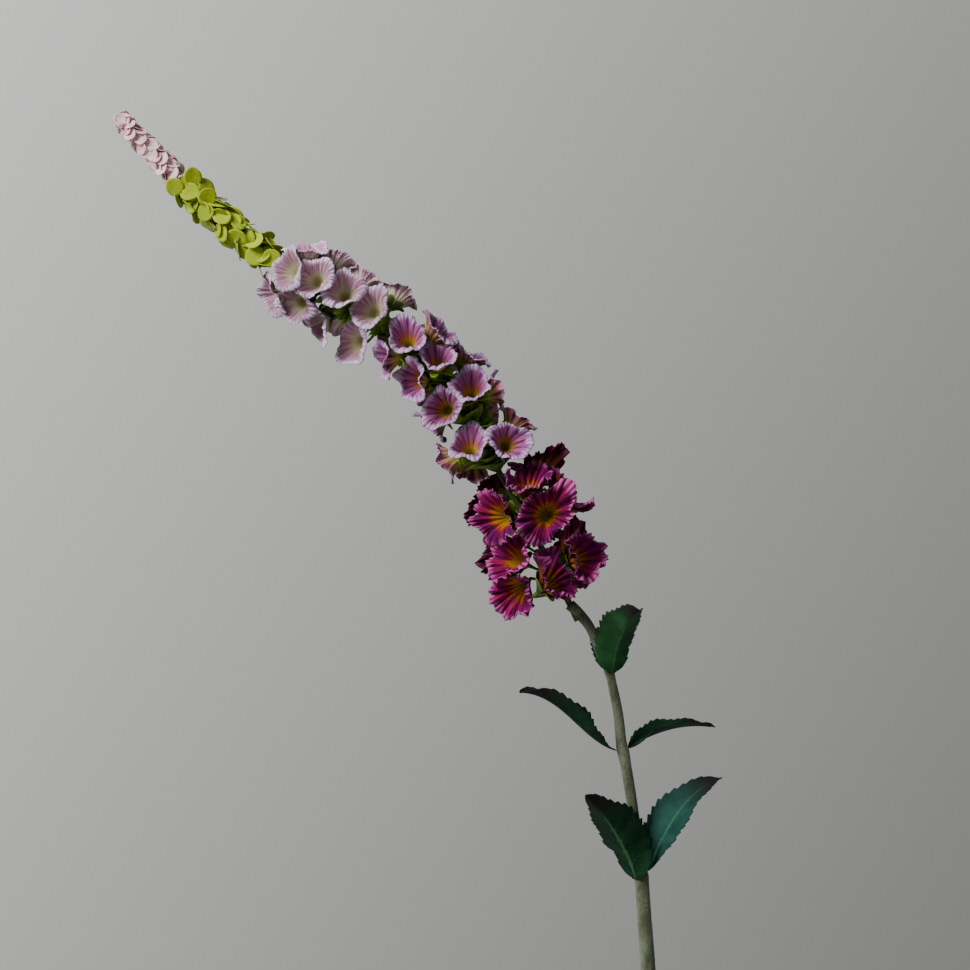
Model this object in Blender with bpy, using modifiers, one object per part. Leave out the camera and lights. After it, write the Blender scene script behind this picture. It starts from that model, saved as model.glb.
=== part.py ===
"""A foxtail lily stem with fabric flowers, standing in a long-necked stoneware bottle vase.

The stem leans on the vase's lip and bows away to -X, towards its pale tip. The origin is the centre
of the vase's flat foot, +Z is up, and the spike faces -Y. Lengths are in millimetres, angles in
degrees, and MM turns a length into Blender's metres.
"""

import math
from dataclasses import dataclass

import bmesh
import bpy
import numpy as np
from mathutils import Matrix, Vector

MM = 0.001
SEAT_GAP = 0.3  # air between two pieces that rest on each other
GOLDEN_ANGLE = math.radians(137.508)
FRONT = Vector((0, -1, 0))
UP = Vector((0, 0, 1))

# Vase: a thrown bottle. The outline starts on the inner floor, climbs the bore, turns over the lip and
# comes down the outer side to the foot, as radius and height.
VASE_HEIGHT = 260.0
VASE_FLOOR = 9.0
VASE_BORE = 8.15
VASE_NECK_FOOT = 180.0
VASE_SIDES = 32
VASE_OUTLINE = (
    (0, VASE_FLOOR),
    (30, VASE_FLOOR),
    (44.5, VASE_FLOOR + 3),
    (55, 31),
    (60.5, 62),
    (56.5, 97),
    (41, 130),
    (22, 156),
    (12, 169),
    (VASE_BORE, VASE_NECK_FOOT),
    (VASE_BORE, VASE_HEIGHT - 8),
    (10.2, VASE_HEIGHT - 1.5),
    (12.5, VASE_HEIGHT),
    (15.5, VASE_HEIGHT - 1.5),
    (15.8, VASE_HEIGHT - 5),
    (13.6, VASE_HEIGHT - 13),
    (13.2, 225),
    (14.2, 198),
    (18, 175),
    (28, 157),
    (46.5, 132.5),
    (62, 98.5),
    (66, 62),
    (60, 28),
    (49.5, 3),
    (47, 0),
    (0, 0),
)

# Stem: x, z and radius from its foot on the vase's floor to its blunt top, with a swelling at each
# pair of leaves.
STEM_ROUND = 3  # bevel steps in a quarter of the stem's section
STEM_ROUTE = (
    (13.2, VASE_FLOOR + SEAT_GAP + 0.35, 5.2),
    (4.5, 147, 5.2),
    (-4.2, 285, 5.1),
    (-6.8, 321.6, 4.8),
    (-8.0, 340, 4.7),
    (-8.5, 346, 5.0),
    (-9.1, 351, 3.7),
    (-14.0, 389.3, 3.6),
    (-19.0, 420, 3.8),
    (-20.6, 428, 4.2),
    (-21.7, 433, 3.7),
    (-23.8, 452.4, 3.4),
    (-28.2, 474, 3.1),
    (-29.4, 478.5, 3.5),
    (-31.2, 483, 3.0),
    (-35.6, 492.2, 3.1),
    (-41.7, 507.1, 3.3),
    (-48.6, 516.2, 3.6),
    (-55.2, 522.6, 3.8),
)
SOCKET_RADIUS = 2.6  # blind hole in the stem's top, which the spike's wire stands in
SOCKET_DEPTH = 12.0
HOLE_SIDES = 10

# Spike: the axis that the florets stand on, from the stem's top to the pale tip.
SPIKE_ROUTE = (
    (-55.2, 0, 522.6),
    (-74.4, 0, 561.3),
    (-98.5, 0, 604.2),
    (-123.8, -1, 651),
    (-158.3, -3, 691.9),
    (-204.4, -5, 721.2),
    (-257.7, -8, 753),
    (-307.1, -11, 797.2),
    (-348.7, -14, 839.5),
)
WIRE_RADIUS = 2.2
WIRE_TOP_RADIUS = 1.7
BELLS_START, BELLS_END = 301.0, 384.0
BUDS_END = 440.0
PIN_RADIUS = 1.2  # the pins that the bells and the buds are threaded on
PIN_LENGTH = 8.0
WIRE_KNOTS = 18

# Leaves: 0.8 mm cloth with cut edges. Height of the joint on the stem, bearing of the blade, its slope
# at the root, middle and tip, the fold at its midrib, its roll round the midrib, length and width.
LEAF_THICKNESS = 0.8
LEAF_START = SEAT_GAP + 0.45  # from the stem's side to the middle of the blade
LEAF_TEETH = 8  # along each edge
TOOTH_SWELL = 0.07
TOOTH_SWEEP = 1.2
LEAF_ROOT, LEAF_TIP = 0.16, 0.04  # narrowest half width at either end, as a share of the widest
LEAVES = {
    "leaf_lower_left": (344, 226, 62, 50, 38, 14, 24, 78, 35),
    "leaf_lower_right": (349, 14, 62, 54, 16, 18, 32, 80, 33),
    "leaf_middle_left": (428, 200, 16, 41, 4, 28, 0, 79, 28),
    "leaf_middle_right": (429, 25, 26, 10, -10, 28, 0, 67, 26),
    "leaf_upper_left": (479, 88, 34, 24, 2, 26, 0, 64, 26),
    "leaf_upper_right": (478, 290, 60, 42, 6, 30, 0, 66, 27),
}


@dataclass(frozen=True)
class Bloom:
    """One kind of floret, and the places that it takes on the spike.

    A place is a station along the spike, a turn round it from the front, the reach of the rim's centre
    from the axis, the lean of the flower away from the axis, and its swing round the spike.
    """

    radius: float
    depth: float
    sides: int
    neck: float
    run: float
    places: tuple


BLOOMS = {
    "lilac": Bloom(
        11.5, 13, 10, 4.0, 6,
        (
            (292, -3, 21, 50, -5),
            (274, 6, 24, 70, 0),
            (288, 58, 22, 60, 15),
            (278, -60, 22, 65, 35),
            (294, -85, 22, 50, 25),
            (254, 17, 22, 75, 10),
            (234, 11, 22, 60, 0),
            (270, 85, 23, 83, 14),
            (247, 90, 22, 88, 9),
            (222, 90, 23, 90, 25),
            (260, -90, 23, 58, 32),
            (234, -88, 22, 58, 58),
            (245, 150, 21, 70, 0),
            (250, -150, 21, 70, 0),
            (275, 138, 22, 65, 0),
            (276, -135, 22, 62, 0),
        ),
    ),
    "mauve": Bloom(
        13, 16, 10, 4.5, 7,
        (
            (205, 7, 25, 65, 20),
            (193, 62, 25, 85, 10),
            (183, 18, 25, 56, 30),
            (209, -57, 25, 46, -15),
            (183, -44, 25, 53, 5),
            (170, 90, 26, 67, -5),
            (156, 30, 25, 54, 0),
            (143, 90, 26, 100, 5),
            (154, -31, 25, 72, 18),
            (147, -90, 27, 96, 0),
            (125, -20, 25, 53, 35),
            (113, 38, 25, 80, -15),
            (123, 90, 28, 64, 14),
            (119, -90, 30, 88, -12),
            (104, -138, 25, 142, 17),
            (135, 165, 25, 75, 0),
            (165, -150, 25, 75, 0),
            (180, 150, 25, 70, 0),
            (208, -170, 24, 70, 0),
        ),
    ),
    "magenta": Bloom(
        16.5, 18, 12, 5.5, 20,
        (
            (75, -35, 31, 70, 0),
            (87, 34, 26, 33, 24),
            (90, 130, 33, 40, 10),
            (60, 22, 35, 85, -20),
            (65, 94, 34, 80, 2),
            (26, 58, 29, 90, 0),
            (22, 2, 31, 74, 57),
            (48, -48, 30, 50, 10),
            (22, -80, 33, 98, 28),
            (26, 145, 32, 88, 0),
            (58, 170, 32, 80, 0),
            (83, -152, 32, 72, 0),
            (53, -110, 32, 75, 0),
        ),
    ),
}
# Outline of a floret, as shares of its depth and radius, and the wave of its rim.
FLORET_OUTLINE = ((0, 0.10), (0.5, 0.40), (0.93, 1.0))
FLORET_THICKNESS = 0.7
RIM_WAVE = 0.05
STALK_RADIUS = 1.0
STALK_BEND = 1.6  # how far a stalk stands off the wire's middle at its bend, in wire radii
CUP_REACH = 0.34  # how far the calyx holds the floret, as a share of its depth
CUP_FLOOR = 1.2
CALYX_SIDES = 5
CALYX_WALL = 0.7

# Bells and petals: round discs on short stalks, wound round a core. Reach and radius are given at the
# lower and upper end, and the tilts towards the tip are taken in turn.
DISC_SIDES = 6
DISC_STALK = 1.4
DISC_ROOT = 0.4
DISC_THICKNESS = 0.8
BELL_CORE = 4.2
BELL_COUNT = 38
BELL_REACH = (8.6, 8.2)
BELL_RADIUS = (5.4, 5.4)
BELL_TILT = (0.4, 0.0, 0.8, 0.2)
BUD_CORE = 3.2
PETAL_COUNT = 34
PETAL_REACH = (5.2, 4.2)
PETAL_RADIUS = (4.3, 3.5)
PETAL_TILT = (0.5, 0.1, 0.9)

# Colour (linear), roughness and metallic value of each material.
FINISHES = {
    "vase": ((0.52, 0.49, 0.44), 0.55, 0),
    "stem": ((0.24, 0.27, 0.20), 0.85, 0),
    "leaf": ((0.015, 0.075, 0.045), 0.7, 0),
    "spike": ((0.09, 0.15, 0.03), 0.6, 0),
    "bells": ((0.30, 0.38, 0.02), 0.75, 0),
    "buds": ((0.62, 0.42, 0.45), 0.8, 0),
    "lilac": ((0.42, 0.27, 0.44), 0.8, 0),
    "mauve": ((0.30, 0.10, 0.27), 0.8, 0),
    "magenta": ((0.16, 0.008, 0.08), 0.8, 0),
}


class Route:
    """A smooth curve through hand-placed points, measured by its length."""

    def __init__(self, points, steps=24):
        first, last = Vector(points[0]), Vector(points[-1])
        knots = [2 * first - Vector(points[1]), *map(Vector, points), 2 * last - Vector(points[-2])]
        curve = []
        for a, b, c, d in zip(knots, knots[1:], knots[2:], knots[3:]):
            for t in np.arange(steps) / steps:
                bend = 2 * a - 5 * b + 4 * c - d
                curve.append((2 * b + (c - a) * t + bend * t**2 + (3 * b - a - 3 * c + d) * t**3) / 2)
        curve.append(last)
        self.points = np.array(curve)
        steps_along = np.linalg.norm(np.diff(self.points, axis=0), axis=1)
        self.stations = np.concatenate([[0], np.cumsum(steps_along)])

    def at(self, station):
        """The point at this length along the curve."""
        return Vector([float(np.interp(station, self.stations, line)) for line in self.points.T])

    def along(self, station):
        """The direction of the curve there."""
        return (self.at(station + 1) - self.at(station - 1)).normalized()

    def nearest(self, point):
        """The station that lies nearest to a point."""
        away = np.linalg.norm(self.points - np.array(point), axis=1)
        return float(self.stations[int(np.argmin(away))])

    def outward(self, station, turn):
        """The direction away from the curve at a turn round it, measured from the front."""
        along = self.along(station)
        front = (FRONT - along * FRONT.dot(along)).normalized()
        return math.cos(turn) * front + math.sin(turn) * along.cross(front)


@dataclass
class Place:
    """Where a floret sits: its base, the way that it faces, and the foot of its stalk."""

    base: Vector
    facing: Vector
    root: Vector
    bend: Vector


def place_floret(spike, bloom, place):
    """Turns one row of a bloom's places into points."""
    station, turn, reach, lean, swing = place
    turn, lean, swing = (math.radians(angle) for angle in (turn, lean, swing))
    along, outward = spike.along(station), spike.outward(station, turn)
    across = along.cross(outward)
    away = math.cos(swing) * outward + math.sin(swing) * across
    facing = math.cos(lean) * along + math.sin(lean) * away
    base = spike.at(station) + outward * reach - facing * bloom.depth
    foot = base - facing * bloom.neck
    foot_station = spike.nearest(foot)
    root_station = max(2.0, foot_station - bloom.run)
    aside = (foot - spike.at(foot_station)).normalized()
    bend_station = (root_station + foot_station) / 2
    bend = spike.at(bend_station) + aside * WIRE_RADIUS * STALK_BEND
    return Place(base, facing, spike.at(root_station), bend)


def remove_startup_objects():
    """Empties the scene that Blender starts with."""
    for obj in list(bpy.data.objects):
        bpy.data.objects.remove(obj)


def make_material(name):
    """A plain material of the finish with this name."""
    colour, roughness, metallic = FINISHES[name]
    material = bpy.data.materials.get(name) or bpy.data.materials.new(name)
    material.use_nodes = True
    shader = material.node_tree.nodes["Principled BSDF"]
    shader.inputs["Base Color"].default_value = (*colour, 1)
    shader.inputs["Roughness"].default_value = roughness
    shader.inputs["Metallic"].default_value = metallic
    return material


def make_object(name, mesh, finish, collection):
    """An object of this mesh, in this finish."""
    obj = bpy.data.objects.new(name, mesh)
    if not mesh.materials:
        mesh.materials.append(make_material(finish))
    collection.objects.link(obj)
    return obj


def mesh_of(name, work, closed=True):
    """A mesh from a bmesh in millimetres, with outward normals where it is closed."""
    if closed:
        bmesh.ops.recalc_face_normals(work, faces=work.faces)
    work.transform(Matrix.Scale(MM, 4))
    mesh = bpy.data.meshes.new(name)
    work.to_mesh(mesh)
    work.free()
    return mesh


def ring(centre, facing, radius, sides, wave=0.0):
    """Points round a centre. A wave moves every second point in and back, and the others out."""
    side = facing.orthogonal().normalized()
    if abs(facing.dot(UP)) < 0.999:
        side = facing.cross(UP).normalized()
    other = facing.cross(side)
    points = []
    for k in range(sides):
        angle = k * math.tau / sides
        swell = wave if k % 2 else -wave
        arm = math.cos(angle) * side + math.sin(angle) * other
        points.append(centre + arm * radius * (1 + swell) - facing * radius * swell * 2)
    return points


def loft(work, rings, closed=True):
    """Bridges rings of one count with triangles, from a point or an open end to the other end."""
    rows = [[work.verts.new(point) for point in points] for points in rings]
    for low, high in zip(rows, rows[1:]):
        sides = max(len(low), len(high))
        for k in range(sides):
            after = (k + 1) % sides
            if len(low) == 1:
                work.faces.new((low[0], high[after], high[k]))
            elif len(high) == 1:
                work.faces.new((low[k], low[after], high[0]))
            else:
                work.faces.new((low[k], low[after], high[after]))
                work.faces.new((low[k], high[after], high[k]))
    if closed:
        for row in (rows[0], rows[-1]):
            if len(row) > 2:
                work.faces.new(row)
    return rows


def solidify(obj, thickness, offset=-1.0):
    """Gives an open sheet its thickness."""
    modifier = obj.modifiers.new("Thickness", "SOLIDIFY")
    modifier.thickness = thickness * MM
    modifier.offset = offset
    modifier.use_even_offset = True


def applied(obj):
    """Replaces an object's data with its evaluated mesh, its seams welded."""
    graph = bpy.context.evaluated_depsgraph_get()
    mesh = bpy.data.meshes.new_from_object(obj.evaluated_get(graph))
    work = bmesh.new()
    work.from_mesh(mesh)
    bmesh.ops.remove_doubles(work, verts=work.verts, dist=0.001 * MM)
    work.to_mesh(mesh)
    work.free()
    collection = obj.users_collection[0]
    name, material = obj.name, obj.data.materials[0]
    bpy.data.objects.remove(obj)
    mesh.name = name
    if not mesh.materials:
        mesh.materials.append(material)
    fresh = bpy.data.objects.new(name, mesh)
    collection.objects.link(fresh)
    return fresh


def tube(name, points, finish, collection, round_steps=2):
    """A round tube through points, each with its own radius."""
    curve = bpy.data.curves.new(name, "CURVE")
    curve.dimensions = "3D"
    curve.bevel_depth = MM
    curve.bevel_resolution = round_steps
    curve.use_fill_caps = True
    spline = curve.splines.new("POLY")
    spline.points.add(len(points) - 1)
    for knot, (point, radius) in zip(spline.points, points):
        knot.co = (*(Vector(point) * MM), 1)
        knot.radius = radius
    return applied(make_object(name, curve, finish, collection))


def drill(obj, mouth, inward, radius, depth, cutters):
    """Sinks a blind hole into an object, from its mouth along the inward direction."""
    bpy.ops.mesh.primitive_cylinder_add(vertices=HOLE_SIDES, radius=radius * MM, depth=2 * depth * MM)
    cutter = bpy.context.object
    cutter.name = obj.name + "_hole"
    turn = inward.to_track_quat("Z", "Y").to_matrix().to_4x4()
    cutter.matrix_world = Matrix.Translation(mouth * MM) @ turn
    for collection in list(cutter.users_collection):
        collection.objects.unlink(cutter)
    cutters.objects.link(cutter)
    cutter.hide_render = True
    cutter.display_type = "WIRE"
    modifier = obj.modifiers.new("Hole", "BOOLEAN")
    modifier.operation = "DIFFERENCE"
    modifier.object = cutter


def join_repeats(core, meshes):
    """Fuses small repeats, roots sunk in, to the core that they grow from."""
    helpers = bpy.data.collections.new(core.name + "_repeats")
    bpy.context.scene.collection.children.link(helpers)
    for mesh in meshes:
        helpers.objects.link(bpy.data.objects.new(mesh.name, mesh))
    modifier = core.modifiers.new("Repeats", "BOOLEAN")
    modifier.operation = "UNION"
    modifier.operand_type = "COLLECTION"
    modifier.collection = helpers
    bpy.context.view_layer.update()
    joined = applied(core)
    for obj in list(helpers.objects):
        bpy.data.objects.remove(obj)
    bpy.data.collections.remove(helpers)
    return joined


def make_vase(parts):
    """The bottle, turned from its outline."""
    work = bmesh.new()
    corners = [work.verts.new((radius, 0, height)) for radius, height in VASE_OUTLINE]
    for low, high in zip(corners, corners[1:]):
        work.edges.new((low, high))
    work.transform(Matrix.Scale(MM, 4))
    mesh = bpy.data.meshes.new("vase")
    work.to_mesh(mesh)
    work.free()
    vase = make_object("vase", mesh, "vase", parts)
    turn = vase.modifiers.new("Turn", "SCREW")
    turn.steps = turn.render_steps = VASE_SIDES
    turn.use_merge_vertices = True
    turn.merge_threshold = 0.01 * MM
    turn.use_normal_calculate = True
    turn.use_smooth_shade = True


def make_stem(parts, cutters):
    """The flocked stem, with the socket in its blunt top."""
    route = [((x, 0, z), radius) for x, z, radius in STEM_ROUTE]
    stem = tube("stem", route, "stem", parts, round_steps=STEM_ROUND)
    top, below = Vector(route[-1][0]), Vector(route[-2][0])
    drill(stem, top, (below - top).normalized(), SOCKET_RADIUS, SOCKET_DEPTH, cutters)


def stem_at(height):
    """The stem's centre and radius at a height."""
    heights = [z for _, z, _ in STEM_ROUTE]
    x = float(np.interp(height, heights, [x for x, _, _ in STEM_ROUTE]))
    radius = float(np.interp(height, heights, [radius for _, _, radius in STEM_ROUTE]))
    return Vector((x, 0, height)), radius


def leaf_width(share):
    """Half width of a blade at a share of its length, as a share of its widest."""
    least = LEAF_ROOT if share < 0.5 else LEAF_TIP
    return max(least, math.sin(math.pi * share**0.72) ** 0.85)


def make_leaf(name, parts):
    """A folded, arching blade with teeth along both edges."""
    height, bearing, root_slope, middle_slope, tip_slope, fold, roll, length, width = LEAVES[name]
    centre, stem_radius = stem_at(height)
    bearing, fold, roll = math.radians(bearing), math.radians(fold), math.radians(roll)
    outward = Vector((math.cos(bearing), math.sin(bearing), 0))
    across = UP.cross(outward)
    point = centre + outward * (stem_radius + LEAF_START)
    rows = 2 * LEAF_TEETH + 2
    work = bmesh.new()
    edges = []
    for k in range(rows + 1):
        share = k / rows
        slope = math.radians(
            root_slope * (1 - share) * (1 - 2 * share)
            + middle_slope * 4 * share * (1 - share)
            + tip_slope * share * (2 * share - 1)
        )
        ahead = math.cos(slope) * outward + math.sin(slope) * UP
        rise = math.cos(slope) * UP - math.sin(slope) * outward
        tooth = 1 + (TOOTH_SWELL if k % 2 else -TOOTH_SWELL)
        half = width / 2 * leaf_width(share) * (tooth if 1 < k < rows else 1)
        opening, turned = fold * min(1, share / 0.2), roll * min(1, share / 0.3)
        side = math.cos(turned) * across + math.sin(turned) * rise
        face = math.cos(turned) * rise - math.sin(turned) * across
        arm = math.cos(opening) * side
        lift = math.sin(opening) * face
        back = -ahead * (TOOTH_SWEEP if k % 2 else 0) * leaf_width(share)
        edges.append([work.verts.new(p) for p in (
            point + (arm + lift) * half + back, point, point + (lift - arm) * half + back)])
        point = point + ahead * (length / rows)
    for low, high in zip(edges, edges[1:]):
        work.faces.new((low[0], low[1], high[0]))
        work.faces.new((low[1], high[1], high[0]))
        work.faces.new((low[1], low[2], high[2]))
        work.faces.new((low[1], high[2], high[1]))
    leaf = make_object(name, mesh_of(name, work, closed=False), "leaf", parts)
    solidify(leaf, LEAF_THICKNESS, offset=0)


def floret_radius(bloom, share):
    """Radius of a floret at a share of its depth."""
    shares, radii = zip(*FLORET_OUTLINE)
    return bloom.radius * float(np.interp(share, shares, radii))


def make_floret(name, finish, bloom, place, parts):
    """A trumpet with a waved rim."""
    base, facing = place.base, place.facing
    rings = [[base]]
    for share, radius in FLORET_OUTLINE:
        wave = RIM_WAVE if share == FLORET_OUTLINE[-1][0] else 0
        centre = base + facing * bloom.depth * share
        rings.append(ring(centre, facing, bloom.radius * radius, bloom.sides, wave))
    work = bmesh.new()
    loft(work, rings, closed=False)
    floret = make_object(name, mesh_of(name, work, closed=False), finish, parts)
    solidify(floret, FLORET_THICKNESS)


def calyx_mesh(name, bloom, place):
    """A bent stalk that opens into the cup which holds a floret."""
    base, facing = place.base, place.facing
    flat = math.cos(math.pi / CALYX_SIDES)  # a polygon's sides lie this much nearer than its corners
    floor = (floret_radius(bloom, 0) + SEAT_GAP) / flat
    mouth = (floret_radius(bloom, CUP_REACH) + SEAT_GAP) / flat
    reach = facing * bloom.depth * CUP_REACH
    foot = base - facing * bloom.neck
    first, second = (place.bend - place.root).normalized(), (foot - place.bend).normalized()
    rings = (
        ring(place.root, first, STALK_RADIUS, CALYX_SIDES),
        ring(place.bend, (first + second).normalized(), STALK_RADIUS, CALYX_SIDES),
        ring(foot, (second + facing).normalized(), STALK_RADIUS, CALYX_SIDES),
        ring(base - facing * CUP_FLOOR, facing, floor + CALYX_WALL, CALYX_SIDES),
        ring(base + reach, facing, mouth + CALYX_WALL, CALYX_SIDES),
        ring(base + reach, facing, mouth, CALYX_SIDES),
        ring(base - facing * SEAT_GAP, facing, floor, CALYX_SIDES),
    )
    work = bmesh.new()
    loft(work, rings)
    return mesh_of(name, work)


def make_spike(spike, places, parts):
    """The wire of the spike with every stalk and calyx."""
    x, z, _ = STEM_ROUTE[-1]
    below_x, below_z, _ = STEM_ROUTE[-2]
    top, ahead = Vector((x, 0, z)), Vector((x - below_x, 0, z - below_z)).normalized()
    route = [(top - ahead * (SOCKET_DEPTH - SEAT_GAP), WIRE_RADIUS), (top + ahead * 2, WIRE_RADIUS)]
    for station in np.linspace(12, BELLS_START - 4, WIRE_KNOTS):
        share = station / BELLS_START
        route.append((spike.at(station), WIRE_RADIUS * (1 - share) + WIRE_TOP_RADIUS * share))
    route.append((spike.at(BELLS_START - 0.5), WIRE_TOP_RADIUS))
    route.append((spike.at(BELLS_START - 0.3), PIN_RADIUS))
    route.append((spike.at(BELLS_START + PIN_LENGTH - SEAT_GAP), PIN_RADIUS))
    wire = tube("spike", route, "spike", parts)
    stalks = [calyx_mesh(f"calyx_{k:02}", bloom, place) for k, (bloom, place) in enumerate(places)]
    join_repeats(wire, stalks)


def disc_mesh(name, root, arm, facing, reach, radius):
    """A round cupped petal on a short stalk that starts inside the core."""
    centre = root + arm * reach
    work = bmesh.new()
    loft(work, (
        [root + arm * DISC_ROOT],
        ring(centre - facing * DISC_THICKNESS * 1.5, facing, DISC_STALK, DISC_SIDES),
        ring(centre, facing, radius, DISC_SIDES),
        [centre - facing * DISC_THICKNESS * 0.5],
    ))
    return mesh_of(name, work)


def disc_meshes(spike, span, count, reach, radius, tilt):
    """Discs wound round a span of the spike at the golden angle, reach and radius as (first, last)."""
    start, end = span
    meshes = []
    for k in range(count):
        share = (k + 0.5) / count
        station = start + share * (end - start)
        arm = spike.outward(station, k * GOLDEN_ANGLE)
        along = spike.along(station)
        facing = (arm + along * tilt[k % len(tilt)]).normalized()
        size = reach[0] + (reach[1] - reach[0]) * share, radius[0] + (radius[1] - radius[0]) * share
        meshes.append(disc_mesh(f"disc_{k:02}", spike.at(station), arm, facing, *size))
    return meshes


def make_bells(spike, parts, cutters):
    """The lime cups and their core, bored at both ends for the pins."""
    stations = np.linspace(BELLS_START, BELLS_END, 6)
    radii = (BELL_CORE - 1, BELL_CORE, BELL_CORE, BELL_CORE, BELL_CORE - 0.4, BELL_CORE - 1)
    route = [(spike.at(station), radius) for station, radius in zip(stations, radii)]
    core = tube("bells_lime", route, "bells", parts)
    span = BELLS_START + 2, BELLS_END - 2
    discs = disc_meshes(spike, span, BELL_COUNT, BELL_REACH, BELL_RADIUS, BELL_TILT)
    bells = join_repeats(core, discs)
    for mouth, inward in (
        (spike.at(BELLS_START), spike.along(BELLS_START)),
        (spike.at(BELLS_END), -spike.along(BELLS_END)),
    ):
        drill(bells, mouth, inward, PIN_RADIUS + SEAT_GAP, PIN_LENGTH, cutters)


def bud_core(share):
    """Radius of the pink core at a share of its length."""
    return BUD_CORE * (1 - 0.6 * share**2)


def make_buds(spike, parts):
    """The pale petals at the tip, on a core that ends in a pin."""
    start = BELLS_END + SEAT_GAP
    route = [(spike.at(start - PIN_LENGTH + SEAT_GAP), PIN_RADIUS), (spike.at(start), PIN_RADIUS)]
    for share in (0.005, 0.2, 0.4, 0.6, 0.8, 1):
        route.append((spike.at(start + share * (BUDS_END - start)), bud_core(share)))
    core = tube("buds_pink", route, "buds", parts)
    span = start + 3, BUDS_END - 1
    petals = disc_meshes(spike, span, PETAL_COUNT, PETAL_REACH, PETAL_RADIUS, PETAL_TILT)
    join_repeats(core, petals)


def main():
    """Builds every piece where it stands."""
    remove_startup_objects()
    parts = bpy.data.collections.new("foxtail_lily_stem_in_vase")
    cutters = bpy.data.collections.new("cutters")
    for collection in (parts, cutters):
        bpy.context.scene.collection.children.link(collection)
    spike = Route(SPIKE_ROUTE)
    make_vase(parts)
    make_stem(parts, cutters)
    for name in LEAVES:
        make_leaf(name, parts)
    places = []
    for kind, bloom in BLOOMS.items():
        for number, row in enumerate(bloom.places, 1):
            place = place_floret(spike, bloom, row)
            places.append((bloom, place))
            make_floret(f"floret_{kind}_{number:02}", kind, bloom, place, parts)
    make_spike(spike, places, parts)
    make_bells(spike, parts, cutters)
    make_buds(spike, parts)


main()
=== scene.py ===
"""Dresses the foxtail lily stem: crimped cloth flowers, leaves, flocked stem, stoneware vase and studio.

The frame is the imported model. Lengths are in millimetres and angles in degrees, as in the model's own
source, and MM turns them into metres. The origin is the centre of the vase's foot, +Z is up, and the
spike faces -Y.
"""

import logging
import math
from dataclasses import dataclass, field
from enum import Enum
from typing import Sequence

import bpy
import numpy as np
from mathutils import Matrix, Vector


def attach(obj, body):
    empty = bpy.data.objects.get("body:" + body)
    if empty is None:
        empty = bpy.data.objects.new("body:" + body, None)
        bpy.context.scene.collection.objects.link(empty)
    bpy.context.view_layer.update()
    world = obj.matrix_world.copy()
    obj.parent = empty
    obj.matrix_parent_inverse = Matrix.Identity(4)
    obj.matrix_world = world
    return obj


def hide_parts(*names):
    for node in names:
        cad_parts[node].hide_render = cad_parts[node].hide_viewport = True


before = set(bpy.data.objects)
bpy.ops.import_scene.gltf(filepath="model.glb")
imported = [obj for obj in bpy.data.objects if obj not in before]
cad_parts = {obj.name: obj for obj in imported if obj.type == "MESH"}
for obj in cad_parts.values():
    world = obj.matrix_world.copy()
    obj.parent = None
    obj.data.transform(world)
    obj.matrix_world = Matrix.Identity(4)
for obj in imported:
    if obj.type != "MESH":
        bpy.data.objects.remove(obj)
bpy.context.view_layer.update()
log = logging.getLogger("foxtail_lily")

MM = 0.001
SEED = 41
GOLDEN_ANGLE = math.radians(137.508)
FRONT = np.array((0.0, -1.0, 0.0))
UP = np.array((0.0, 0.0, 1.0))
BODY = "root"

Array = np.ndarray
Random = np.random.Generator
Material = bpy.types.Material
Colour = tuple[float, float, float]
Socket = bpy.types.NodeSocket
Value = float | Colour | Socket

# The spike's route, its wire's radii, where its lime part starts, and how its stalks leave it.
SPIKE_ROUTE = (
    (-55.2, 0, 522.6), (-74.4, 0, 561.3), (-98.5, 0, 604.2), (-123.8, -1, 651), (-158.3, -3, 691.9),
    (-204.4, -5, 721.2), (-257.7, -8, 753), (-307.1, -11, 797.2), (-348.7, -14, 839.5),
)
WIRE_RADIUS = 2.2
WIRE_TOP_RADIUS = 1.7
BELLS_START = 301.0
LOWEST_ROOT = 2.0
STALK_BOW = 1.6


def unit(vectors: Array) -> Array:
    """These vectors at length 1."""
    return vectors / np.maximum(np.linalg.norm(vectors, axis=-1, keepdims=True), 1e-9)


def blend(a: float, b: float, share: float) -> float:
    """The value this share of the way from a to b."""
    return a + (b - a) * share


def rise(values: Array, low: float, high: float) -> Array:
    """A smooth step from 0 at low to 1 at high."""
    t = np.clip((values - low) / (high - low), 0, 1)
    return t * t * (3 - 2 * t)


def ring(count: int) -> Array:
    """The angles of this many points spread round a ring."""
    return np.arange(count) * math.tau / count


def spun(angles: Array, third: Array) -> Array:
    """Each point's place round its ring, as cosine and sine, with a third number by row and column."""
    wide = np.ones_like(third)
    return np.stack([wide * np.cos(angles), wide * np.sin(angles), third], -1)


def waves(angles: Array, rates: Sequence[int], rng: Random) -> Array:
    """A closed random wave round a ring, between about -1 and 1.

    Args:
        angles: the ring's angles.
        rates: how many times each part of the wave goes round.
        rng: gives each part its phase and strength.
    """
    total = np.zeros_like(angles)
    for rate in rates:
        total += rng.uniform(0.5, 1) * np.sin(rate * angles + rng.uniform(0, math.tau))
    return total / math.sqrt(len(rates))


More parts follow.
